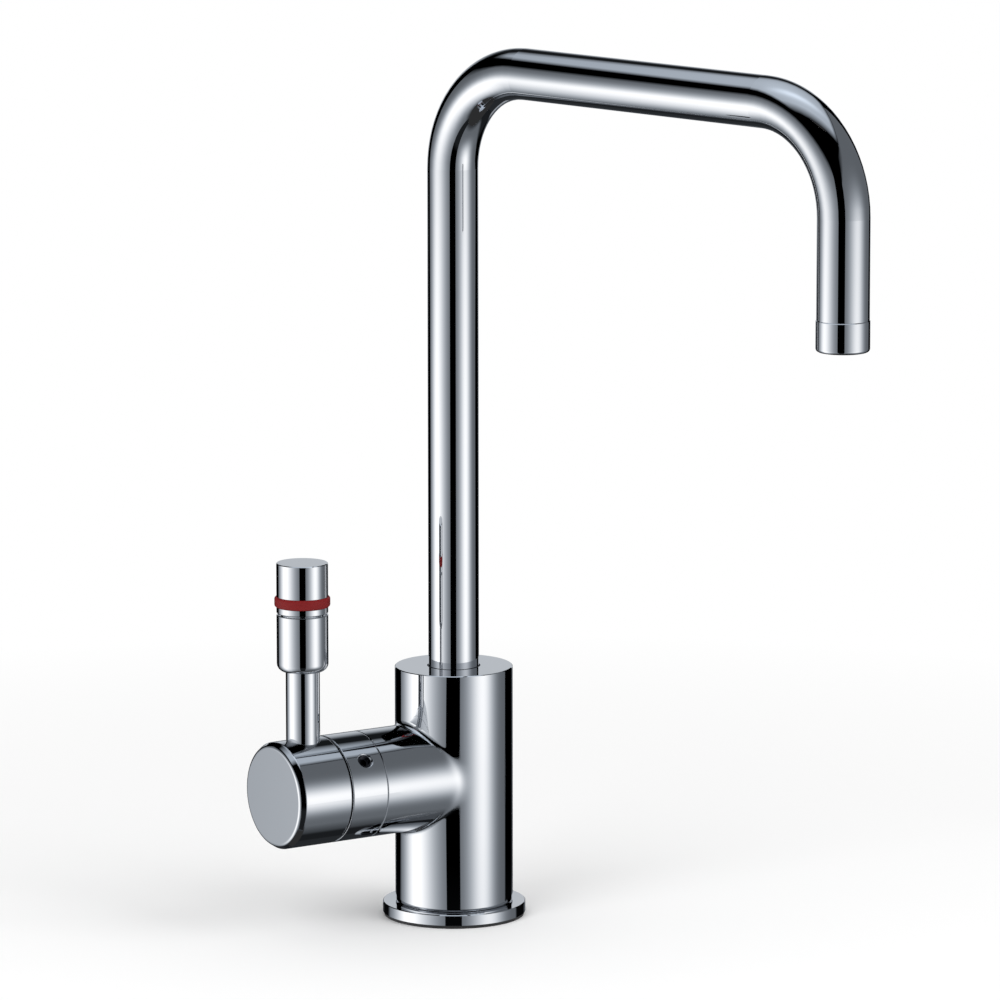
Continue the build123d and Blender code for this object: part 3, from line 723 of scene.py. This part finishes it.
@dataclass(frozen=True)
class TappedThread:
    """Helical thread on the wall of a tapped hole that opens downwards.

    Half the width of its root and of its crest are shares of the pitch.
    """

    name: str
    place: Pair
    wall_radius: float
    pitch: float
    length: float
    depth: float = 0.34
    root_sink: float = 0.04
    root_half: float = 0.40
    crest_half: float = 0.08
    lead_in: float = 0.7
    steps_per_turn: int = 40

    def mesh(self) -> BMesh:
        """Turns a truncated triangle up the hole.

        Returns:
            The thread.
        """
        shape = bmesh.new()
        centre = Vector((*self.place, 0.0))
        root, crest = self.wall_radius + self.root_sink, self.wall_radius - self.depth
        halves = ((root, self.root_half), (crest, self.crest_half))
        outline = [(r, -half) for r, half in halves] + list(reversed(halves))
        face = shape.faces.new([
            shape.verts.new(centre + Vector((r, 0.0, self.lead_in + share * self.pitch)))
            for r, share in outline
        ])
        turns = self.length / self.pitch
        steps = round(turns * self.steps_per_turn)
        bmesh.ops.spin(
            shape, geom=[face, *face.edges, *face.verts], cent=centre, axis=UPRIGHT,
            dvec=(0.0, 0.0, self.length / steps), angle=math.tau * turns, steps=steps,
        )
        return shape


@dataclass
class Foot(Assembly):
    """Gasket, flange, connector and body."""

    spindle: Spindle = Spindle.COLUMN
    body: Body = Body.BASE
    dress: dict[str, Slot] = dress_in(
        base_gasket=Slot.RUBBER, base_flange=Slot.CHROME, base_connector=Slot.BRASS,
        connector_oring=Slot.RUBBER, tap_body=Slot.CHROME, spout_guide_ring=Slot.SLIDE,
        spout_thrust_washer=Slot.WHITE, spout_grub_screw=Slot.BLACKED,
    )
    threads: tuple[TappedThread, ...] = (
        TappedThread("stud_thread", (0.0, 0.0), wall_radius=3.4, pitch=1.25, length=10.0),
        TappedThread("inlet_thread", (10.05, 0.0), wall_radius=4.5, pitch=1.0, length=8.6),
    )

    def build(self) -> None:
        """Cuts the two threads of the connector."""
        for thread in self.threads:
            self.add(thread.name, thread.mesh(), Slot.BRASS)

    def finish_nodes(self) -> None:
        """Gives the foot its finishes, and the body its softened crease."""
        super().finish_nodes()
        cover("tap_body", CreasedPlate().material("chrome_body", self.spindle))


@dataclass
class Headwork(Assembly):
    """Bonnet ring, hub and the ceramic-disc valve inside the branch."""

    spindle: Spindle = Spindle.BRANCH
    body: Body = Body.BASE
    dress: dict[str, Slot] = dress_in(
        bonnet_ring=Slot.CHROME, bonnet_grub_screw=Slot.BLACKED, cartridge_body=Slot.BRASS,
        cartridge_oring=Slot.RUBBER, seat_seal=Slot.CLEAR, fixed_ceramic_disc=Slot.CERAMIC,
        stop_ring=Slot.BRASS, valve_spindle=Slot.BRASS, slip_washer=Slot.WHITE,
        spindle_orings=Slot.RUBBER, spindle_circlip=Slot.STEEL, moving_ceramic_disc=Slot.CERAMIC,
        handle_hub=Slot.CHROME, hub_grub_screw=Slot.BLACKED,
    )
    edged: tuple[str, ...] = ("bonnet_ring", "handle_hub")

    def finish_nodes(self) -> None:
        """Gives the headwork its finishes, and ring and hub their broken edges."""
        super().finish_nodes()
        plate = EdgedPlate().material("chrome_edged", self.spindle)
        for name in self.edged:
            cover(name, plate)


@dataclass(frozen=True)
class ReturnSpring:
    """Steel coil that pulls the lock pin down, with a closed turn at each end."""

    name: str = "return_spring"
    stands_for: str = "lock_spring"
    joint: str = "lock_lift"
    lift: float = 3.0
    fixed_end: float = 104.0
    wire_radius: float = 0.35
    closed_pitch: float = 0.74
    active_turns: int = 5
    sides: int = 14
    steps_per_turn: int = 36

    def mesh(self) -> BMesh:
        """Coils the wire upwards in the box of the solid that it stands for.

        Returns:
            The coil.
        """
        low, high = box_of(self.stands_for)
        middle = (low + high) / 2.0
        coil_radius = (high.x - low.x) / 2.0 - self.wire_radius
        rise = high.z - low.z - 2.0 * self.wire_radius
        active_pitch = (rise - 2.0 * self.closed_pitch) / self.active_turns
        start = Matrix.Translation((middle.x + coil_radius, middle.y, low.z + self.wire_radius))
        shape = bmesh.new()
        bmesh.ops.create_circle(
            shape, cap_ends=True, segments=self.sides, radius=self.wire_radius,
            matrix=start @ turn(90.0, "X"),
        )
        end = [*shape.faces, *shape.edges, *shape.verts]
        closed = (1, self.closed_pitch)
        for turns, pitch in (closed, (self.active_turns, active_pitch), closed):
            end = bmesh.ops.spin(
                shape, geom=end, cent=middle, axis=UPRIGHT, angle=math.tau * turns,
                dvec=(0.0, 0.0, pitch / self.steps_per_turn), steps=turns * self.steps_per_turn,
            )["geom_last"]
        return shape

    def fit(self, spring: Object) -> None:
        """Puts the coil in the solid's place: hides the solid and gives the coil a mesh of its own.

        Args:
            spring: The finished coil.
        """
        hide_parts(self.stands_for)
        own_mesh(spring)


@dataclass
class Lever(Assembly):
    """Stem, grip and child lock."""

    spindle: Spindle = Spindle.LEVER
    body: Body = Body.LEVER
    dress: dict[str, Slot] = dress_in(
        lever_stem=Slot.CHROME, lever_sleeve=Slot.CHROME, lock_bush=Slot.BRASS,
        lock_knob=Slot.CHROME, indicator_ring=Slot.RED, lock_pin=Slot.STEEL,
    )
    spring: ReturnSpring = ReturnSpring()

    def build(self) -> None:
        """Coils the lock's return spring."""
        self.spring.fit(self.add(self.spring.name, self.spring.mesh(), Slot.STEEL))


@dataclass
class Spout(Assembly):
    """Tube and its insert in the body's socket."""

    spindle: Spindle = Spindle.COLUMN
    body: Body = Body.SPOUT
    dress: dict[str, Slot] = dress_in(
        spout_tube=Slot.CHROME, spout_insert=Slot.BRASS, spout_orings=Slot.RUBBER,
    )


@dataclass
class Outlet(Assembly):
    """Housing, screen and flow straightener at the spout's end."""

    spindle: Spindle = Spindle.OUTLET
    body: Body = Body.SPOUT
    dress: dict[str, Slot] = dress_in(
        outlet_adapter=Slot.BRASS, outlet_housing=Slot.CHROME, outlet_washer=Slot.RUBBER,
        flow_straightener=Slot.WHITE,
    )
    screen: str = "outlet_screen"
    wire_pitch: float = 0.72
    wire_radius: float = 0.10
    wire_swing: float = 0.11
    wire_sides: int = 6
    steps_per_pitch: int = 4
    hem_width: float = 0.5
    hem_round: float = 0.12
    hem_round_steps: int = 3
    hem_steps: int = 96

    def build(self) -> None:
        """Weaves the gauze of the screen and folds its hem."""
        low, high = box_of(self.screen)
        middle, size = (low + high) / 2.0, high - low
        radius = size.x / 2.0
        shape = bmesh.new()
        lanes = int((radius - self.hem_width) / self.wire_pitch)
        for lane in range(-lanes, lanes + 1):
            offset = lane * self.wire_pitch
            half = math.sqrt((radius - self.hem_width / 2.0) ** 2 - offset**2)
            beside = Matrix.Translation((0.0, offset, 0.0))
            for angle, swing in ((0.0, self.wire_swing), (90.0, -self.wire_swing)):
                place = Matrix.Translation(middle) @ turn(angle, "Z") @ beside
                self.wire(shape, place, half, swing * (-1) ** lane)
        self.hem(shape, middle, radius, size.z)
        gauze = self.add("outlet_gauze", shape, Slot.STEEL)
        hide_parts(self.screen)

    def wire(self, shape: BMesh, place: Matrix, half: float, swing: float) -> None:
        """Draws one wire of the gauze along X, over and under those that cross it.

        Args:
            shape: Mesh to draw in.
            place: Where the wire's middle lies.
            half: Half of its length.
            swing: Height of its middle above the gauze's plane.
        """
        steps = 2 * math.ceil(half / self.wire_pitch * self.steps_per_pitch)
        stations = [-half + 2.0 * half * number / steps for number in range(steps + 1)]
        heights = [swing * math.cos(math.pi * station / self.wire_pitch) for station in stations]
        start = place @ Matrix.Translation((stations[0], 0.0, heights[0])) @ turn(90.0, "Y")
        ring = bmesh.ops.create_circle(
            shape, cap_ends=False, segments=self.wire_sides, radius=self.wire_radius, matrix=start
        )["verts"]
        first = edges = list({edge for vert in ring for edge in vert.link_edges})
        for number in range(1, steps + 1):
            grown = bmesh.ops.extrude_edge_only(shape, edges=edges)["geom"]
            edges = [thing for thing in grown if isinstance(thing, bmesh.types.BMEdge)]
            verts = [thing for thing in grown if isinstance(thing, bmesh.types.BMVert)]
            run, rise = (line[number] - line[number - 1] for line in (stations, heights))
            step = place.to_3x3() @ Vector((run, 0.0, rise))
            bmesh.ops.translate(shape, vec=step, verts=verts)
        for rim in (first, edges):
            bmesh.ops.edgeloop_fill(shape, edges=rim)

    def hem(self, shape: BMesh, middle: Vector, radius: float, height: float) -> None:
        """Turns the rim that is folded round the gauze.

        Args:
            shape: Mesh to draw in.
            middle: Centre of the gauze.
            radius: Outer radius.
            height: Thickness of the rim.
        """
        inner, half = radius - self.hem_width, height / 2.0
        corners = ((inner, -half), (radius, -half), (radius, half), (inner, half))
        ring = [shape.verts.new(middle + Vector((r, 0.0, z))) for r, z in corners]
        bmesh.ops.bevel(
            shape, geom=list(shape.faces.new(ring).verts), offset=self.hem_round,
            segments=self.hem_round_steps, profile=0.5, affect="VERTICES", material=-1,
        )
        # The rounded section has more corners than any face of a wire.
        section = max(shape.faces, key=lambda face: len(face.verts))
        outline = [*section.verts, *section.edges]
        bmesh.ops.delete(shape, geom=[section], context="FACES_ONLY")
        bmesh.ops.spin(
            shape, geom=outline, cent=middle, axis=UPRIGHT, angle=math.tau, steps=self.hem_steps,
            use_merge=True,
        )


# ---- studio


@dataclass(frozen=True)
class Diffuser:
    """Curved diffusion panel of the light tent.

    Bearings are degrees round from the front to the panel's own side, which is 1 for right and -1
    for left. There is one inner edge, and an outer edge each for the lower and the upper part. The
    top edge is given in metres at bearings, and fades over its last stretch. The glow leans towards
    the front as it rises. Far below it sags away, and there the outer edge is shifted and soft.
    """

    side: float
    inner_edge: float
    outer_edges: Pair
    low_shift: float
    low_softness: float
    top: Stops
    top_fade: float
    centre: float
    lean: float
    sag: float
    middle: float
    inner_spread: float
    outer_spread: float
    upper_spread: float
    lower_spread: float
    peak: float
    ground: float


@dataclass(frozen=True)
class RoofGlow:
    """Bright place on the roof card; centre and reach are towards the front, then to the right."""

    centre: Pair
    reach: Pair
    glow: float


@dataclass(frozen=True)
class Studio:
    """Pale floor, plain lamps, and a light tent that only reflections show.

    Of two heights, the first is where something sets in and the second where it is complete.
    """

    disc_sides: int = 96
    wall_sides: int = 180
    tent_radius: float = 900.0
    tent_top: float = 1600.0
    tent_bottom: float = -1700.0
    cloth_level: float = 0.032

    # Card overhead: where it is full, and where it has faded away.
    roof_height: float = 787.0
    roof_ground: float = 0.38
    roof_glows: tuple[RoofGlow, ...] = (
        RoofGlow((30.0, 20.0), (270.0, 300.0), 0.20),
        RoofGlow((55.0, 60.0), (48.0, 170.0), 0.34),
    )
    roof_depth: tuple[Pair, Pair] = ((230.0, 390.0), (-360.0, -610.0))
    roof_width: tuple[Pair, Pair] = ((395.0, 468.0), (-346.0, -490.0))

    # Wall behind the tap: brightness by height.
    backdrop_edges: Pair = (155.0, -157.0)
    backdrop_span: Pair = (-500.0, 800.0)
    backdrop: Stops = (
        (-400.0, 0.01), (-215.0, 0.03), (-115.0, 0.06), (64.0, 0.14), (130.0, 0.33), (175.0, 0.46),
        (226.0, 0.51), (305.0, 0.49), (384.0, 0.40), (464.0, 0.33), (632.0, 0.07), (725.0, 0.01),
    )
    fill_edges: Pair = (156.0, 177.0)
    fill_blur: float = 4.0
    fill_span: Pair = (-800.0, 800.0)
    fill: Stops = ((-470.0, 0.0), (-430.0, 0.27), (-260.0, 0.29), (-190.0, 0.0))
    gloom: float = 0.013
    gloom_heights: Pair = (-180.0, -330.0)

    # Wall at the sides, and the values that both diffusers share.
    left: Diffuser = Diffuser(
        side=-1.0, inner_edge=14.0, outer_edges=(125.0, 127.0), low_shift=0.0, low_softness=24.0,
        top=((20.0, 0.64), (35.0, 0.72), (55.0, 0.79), (95.0, 0.785), (105.0, 0.70), (125.0, 0.67)),
        top_fade=150.0, centre=79.0, lean=11.0, sag=9.0, middle=-54.0, inner_spread=28.0,
        outer_spread=20.4, upper_spread=268.0, lower_spread=800.0, peak=1.02, ground=0.12,
    )
    right: Diffuser = Diffuser(
        side=1.0, inner_edge=12.0, outer_edges=(119.0, 132.0), low_shift=-8.0, low_softness=13.0,
        top=((20.0, 0.86), (45.0, 1.10), (75.0, 1.65)),
        top_fade=60.0, centre=58.0, lean=2.0, sag=0.0, middle=-23.0, inner_spread=19.3,
        outer_spread=16.7, upper_spread=250.0, lower_spread=286.0, peak=0.90, ground=0.127,
    )
    top_span: Pair = (0.0, 140.0)
    lean_heights: Pair = (50.0, 300.0)
    sag_heights: Pair = (-300.0, -800.0)
    soft_heights: Pair = (-100.0, -400.0)
    dim_heights: Pair = (-1080.0, -1560.0)
    dim_share: float = 0.25
    flare_heights: Pair = (60.0, 260.0)
    edge_softness: float = 0.01
    slot_bend: float = 500.0
    slot_slant: float = 0.03
    slot_softness: float = 0.5
    slot_blur: float = 0.045
    cool: Triple = (0.80, 0.89, 1.0)
    brightness: float = 1.22

    # Floor, world and lamps.
    seeing_rays: tuple[str, ...] = ("Camera", "Transmission", "Glossy")
    floor_colour: Triple = (0.96, 0.96, 0.96)
    floor_radius: float = 9000.0
    fade: Pair = (120.0, 520.0)
    world_level: float = 0.72
    lamp_power: float = 5.0
    lamp_size: float = 800.0
    lamps: tuple[Triple, ...] = ((-950.0, -350.0, 950.0), (450.0, -950.0, 950.0))
    lamp_aim: Triple = (0.0, 0.0, 100.0)

    def build(self) -> None:
        """Sets floor, world, lamps and tent."""
        self.floor()
        self.world()
        self.light()
        self.tent_wall()
        self.tent_roof()
        self.tent_cloths()
        log.info("studio is set")

    def stage_piece(self, name: str, shape: BMesh) -> tuple[Object, NodeSheet, NodeSocket]:
        """Puts up a piece of the stage with an empty material.

        Args:
            name: Name of the piece and of its material.
            shape: Its mesh, in metres; it is freed.

        Returns:
            The piece, its material's sheet, and the socket that takes the finished shader.
        """
        material = bpy.data.materials.new(name)
        material.use_nodes = True
        material.node_tree.nodes.clear()
        piece = new_piece(name, shape)
        piece.data.materials.append(material)
        sheet = NodeSheet(material.node_tree)
        return piece, sheet, sheet.add("ShaderNodeOutputMaterial").inputs[0]

    def disc(self, name: str, radius: float, height: float) -> tuple[Object, NodeSheet, NodeSocket]:
        """Puts up a level disc.

        Args:
            name: Name of the disc and of its material.
            radius: Its radius.
            height: Its height.

        Returns:
            The disc, its material's sheet, and the socket that takes the finished shader.
        """
        shape = bmesh.new()
        level = Matrix.Translation((0.0, 0.0, height * MM))
        bmesh.ops.create_circle(
            shape, cap_ends=True, segments=self.disc_sides, radius=radius * MM, matrix=level
        )
        return self.stage_piece(name, shape)

    def seen(self, sheet: NodeSheet) -> NodeSocket:
        """1 for camera, transmission and glossy rays, and 0 for those that only carry light."""
        path = sheet.add("ShaderNodeLightPath").outputs
        return sheet.fold("MAXIMUM", *(path[f"Is {ray} Ray"] for ray in self.seeing_rays))

    def floor(self) -> None:
        """Round floor that fades to plain white away from the tap, and keeps its shadow near it."""
        floor, sheet, output = self.disc("studio_floor", self.floor_radius, 0.0)
        place = sheet.add("ShaderNodeTexCoord").outputs["Object"]
        away = sheet.add("ShaderNodeVectorMath", {0: place}, operation="LENGTH").outputs["Value"]
        fade = sheet.spread(away, self.fade[0] * MM, self.fade[1] * MM)
        paint = sheet.add("ShaderNodeBsdfDiffuse", {"Color": rgba(self.floor_colour)})
        white = sheet.emission(WHITE, 1.0)
        share = sheet.product(fade, self.seen(sheet))
        sheet.feed(output, sheet.mix(share, paint.outputs[0], white))
        floor.visible_glossy = False

    def world(self) -> None:
        """White surroundings for camera and reflections, and a plain level of light otherwise."""
        world = bpy.data.worlds.new("studio")
        world.use_nodes = True
        bpy.context.scene.world = world
        world.node_tree.nodes.clear()
        sheet = NodeSheet(world.node_tree)
        strength = sheet.spread(self.seen(sheet), 0.0, 1.0, self.world_level, 1.0)
        background = sheet.add("ShaderNodeBackground", {"Color": WHITE, "Strength": strength})
        sheet.add("ShaderNodeOutputWorld", {0: background.outputs[0]})

    def light(self) -> None:
        """Two soft lamps, which reflections don't show."""
        for number, point in enumerate(self.lamps, 1):
            lamp = bpy.data.lights.new(f"soft_lamp_{number}", "AREA")
            lamp.shape = "DISK"
            lamp.size = self.lamp_size * MM
            lamp.energy = self.lamp_power
            thing = bpy.data.objects.new(lamp.name, lamp)
            bpy.context.scene.collection.objects.link(thing)
            thing.location = Vector(point) * MM
            aim = Vector(self.lamp_aim) * MM - thing.location
            thing.rotation_mode = "QUATERNION"
            thing.rotation_quaternion = aim.to_track_quat("-Z", "Y")
            thing.visible_glossy = False

    def keep_to_reflections(self, piece: Object) -> None:
        """Lets only glossy rays see a piece of the tent."""
        for rays in ("camera", "diffuse", "transmission", "shadow"):
            setattr(piece, f"visible_{rays}", False)

    def faced(self, sheet: NodeSheet) -> list[NodeSocket]:
        """Place on the tent: towards the front, to the right, and up."""
        return sheet.parts(sheet.place((0.0, 0.0, 0.0), (0.0, 0.0, FRONT_BEARING), unit=MM))

    def panel(
        self, sheet: NodeSheet, bearing: NodeSocket, height: NodeSocket, panel: Diffuser
    ) -> NodeSocket:
        """Draws one diffuser.

        Args:
            sheet: Sheet of the wall's material.
            bearing: Bearing from the front.
            height: Height.
            panel: The diffuser.

        Returns:
            Socket of its brightness, which is 0 outside it.
        """
        away = sheet.product(bearing, panel.side)
        centre = sheet.total(
            sheet.spread(height, *self.lean_heights, panel.centre, panel.centre - panel.lean),
            sheet.spread(height, *self.sag_heights, 0.0, panel.sag),
        )
        spot = (
            away, height, centre, panel.inner_spread, panel.outer_spread,
            panel.middle, panel.upper_spread, panel.lower_spread,
        )
        glow = sheet.add("ShaderNodeGroup", dict(enumerate(spot)), node_tree=glow_group())
        least = panel.ground * self.dim_share
        ground = sheet.spread(height, *self.dim_heights, panel.ground, least)
        lit = sheet.math("MULTIPLY_ADD", glow.outputs[0], panel.peak, ground)

        climb = sheet.math("MAXIMUM", sheet.math("SUBTRACT", height, self.slot_bend), 0.0)
        inner_edge = sheet.math("MULTIPLY_ADD", climb, self.slot_slant, panel.inner_edge)
        blur = sheet.math("MULTIPLY_ADD", climb, self.slot_blur, self.slot_softness)
        past = sheet.math("SUBTRACT", away, inner_edge)
        inner = sheet.spread(sheet.math("DIVIDE", past, blur), 0.0, 1.0)

        outer_edge = sheet.total(
            sheet.spread(height, *self.flare_heights, *panel.outer_edges),
            sheet.spread(height, *self.soft_heights, 0.0, panel.low_shift),
        )
        softness = sheet.spread(height, *self.soft_heights, self.edge_softness, panel.low_softness)
        beyond = sheet.math("SUBTRACT", away, outer_edge)
        outer = sheet.spread(sheet.math("DIVIDE", beyond, softness), 0.0, 1.0, 1.0, 0.0)

        top_edge = sheet.product(sheet.ramp(away, self.top_span, panel.top), 1.0 / MM)
        top = sheet.spread(sheet.math("SUBTRACT", top_edge, height), 0.0, panel.top_fade)
        return sheet.product(lit, top, inner, outer)

    def tent_wall(self) -> None:
        """Round wall of the tent: two diffusers with black slots between, a backdrop and a fill."""
        shape = bmesh.new()
        start, end = (
            shape.verts.new((self.tent_radius * MM, 0.0, height * MM))
            for height in (self.tent_bottom, self.tent_top)
        )
        bmesh.ops.spin(
            shape, geom=[start, end, shape.edges.new((start, end))], cent=(0.0, 0.0, 0.0),
            axis=UPRIGHT, angle=math.tau, steps=self.wall_sides, use_merge=True,
        )
        wall, sheet, output = self.stage_piece("tent_wall", shape)
        ahead, aside, height = self.faced(sheet)
        bearing = sheet.math("DEGREES", sheet.math("ARCTAN2", aside, ahead))
        left = self.panel(sheet, bearing, height, self.left)
        right = self.panel(sheet, bearing, height, self.right)
        behind = sheet.math(
            "MAXIMUM",
            sheet.math("GREATER_THAN", bearing, self.backdrop_edges[0]),
            sheet.math("LESS_THAN", bearing, self.backdrop_edges[1]),
        )
        backdrop = sheet.product(sheet.ramp(height, self.backdrop_span, self.backdrop), behind)
        first, last = self.fill_edges
        fill = sheet.product(
            sheet.spread(bearing, first - self.fill_blur, first),
            sheet.spread(bearing, last, last + self.fill_blur, 1.0, 0.0),
            sheet.ramp(height, self.fill_span, self.fill),
        )
        gloom = sheet.spread(height, *self.gloom_heights, 0.0, self.gloom)
        level = sheet.total(left, right, backdrop, fill, gloom)
        tint = sheet.blend(sheet.spread(level, 0.0, 1.0), rgba(self.cool), WHITE)
        sheet.feed(output, sheet.emission(tint, sheet.product(level, self.brightness)))
        self.keep_to_reflections(wall)

    def tent_roof(self) -> None:
        """Grey card overhead with a lamp's glow on it and soft ends, and nothing round it."""
        roof, sheet, output = self.disc("tent_roof", self.tent_radius, self.roof_height)
        ahead, aside, _ = self.faced(sheet)
        level: Feed = self.roof_ground
        for glow in self.roof_glows:
            squares = []
            for place, middle, reach in zip((ahead, aside), glow.centre, glow.reach):
                share = sheet.math("DIVIDE", sheet.math("SUBTRACT", place, middle), reach)
                squares.append(sheet.product(share, share))
            level = sheet.math("MULTIPLY_ADD", sheet.bell(*squares), glow.glow, level)
        inside: Feed = 1.0
        for place, ends in ((ahead, self.roof_depth), (aside, self.roof_width)):
            for full, gone in ends:
                inside = sheet.product(inside, sheet.spread(place, full, gone, 1.0, 0.0))
        card = sheet.emission(rgba(self.cool), sheet.product(level, inside, self.brightness))
        clear = sheet.add("ShaderNodeBsdfTransparent").outputs[0]
        solid = sheet.math("GREATER_THAN", inside, 0.0)
        sheet.feed(output, sheet.mix(solid, clear, card))
        self.keep_to_reflections(roof)

    def tent_cloths(self) -> None:
        """Nearly black cloths under the tent and over its top."""
        for name, height in (("tent_base", self.tent_bottom), ("tent_top", self.tent_top)):
            cloth, sheet, output = self.disc(name, self.tent_radius, height)
            sheet.feed(output, sheet.emission(WHITE, self.cloth_level))
            self.keep_to_reflections(cloth)


@dataclass(frozen=True)
class Viewpoint:
    """Camera in front of the tap, far off with a long lens."""

    bearing: float = FRONT_BEARING
    distance: float = 2577.6
    height: float = 607.5
    tilt: float = 10.0613
    pan: float = 0.3676
    roll: float = 0.053
    lens: float = 265.68
    sensor: float = 36.0
    far_clip: float = 50000.0

    def place(self) -> None:
        """Makes the camera and sets it as the scene's own."""
        data = bpy.data.cameras.new("studio_camera")
        data.lens = self.lens
        data.sensor_width = self.sensor
        data.clip_end = self.far_clip * MM
        camera = bpy.data.objects.new("studio_camera", data)
        bpy.context.scene.collection.objects.link(camera)
        back = Matrix.Translation((0.0, -self.distance * MM, self.height * MM))
        stand = turn(self.bearing + 90.0, "Z") @ back
        head = turn(-self.pan, "Z") @ turn(90.0 - self.tilt, "X")
        camera.matrix_world = stand @ head @ turn(-self.roll, "Z")
        bpy.context.scene.camera = camera


def main() -> None:
    """Builds the tap's dress and the studio, in order."""
    logging.basicConfig(level=logging.INFO, format="%(message)s")
    bpy.context.scene.view_settings.view_transform = "Standard"
    for assembly in (Foot(), Headwork(), Lever(), Spout(), Outlet()):
        assembly.build()
        assembly.finish_nodes()
    Studio().build()
    Viewpoint().place()


if __name__ == "__main__":
    main()
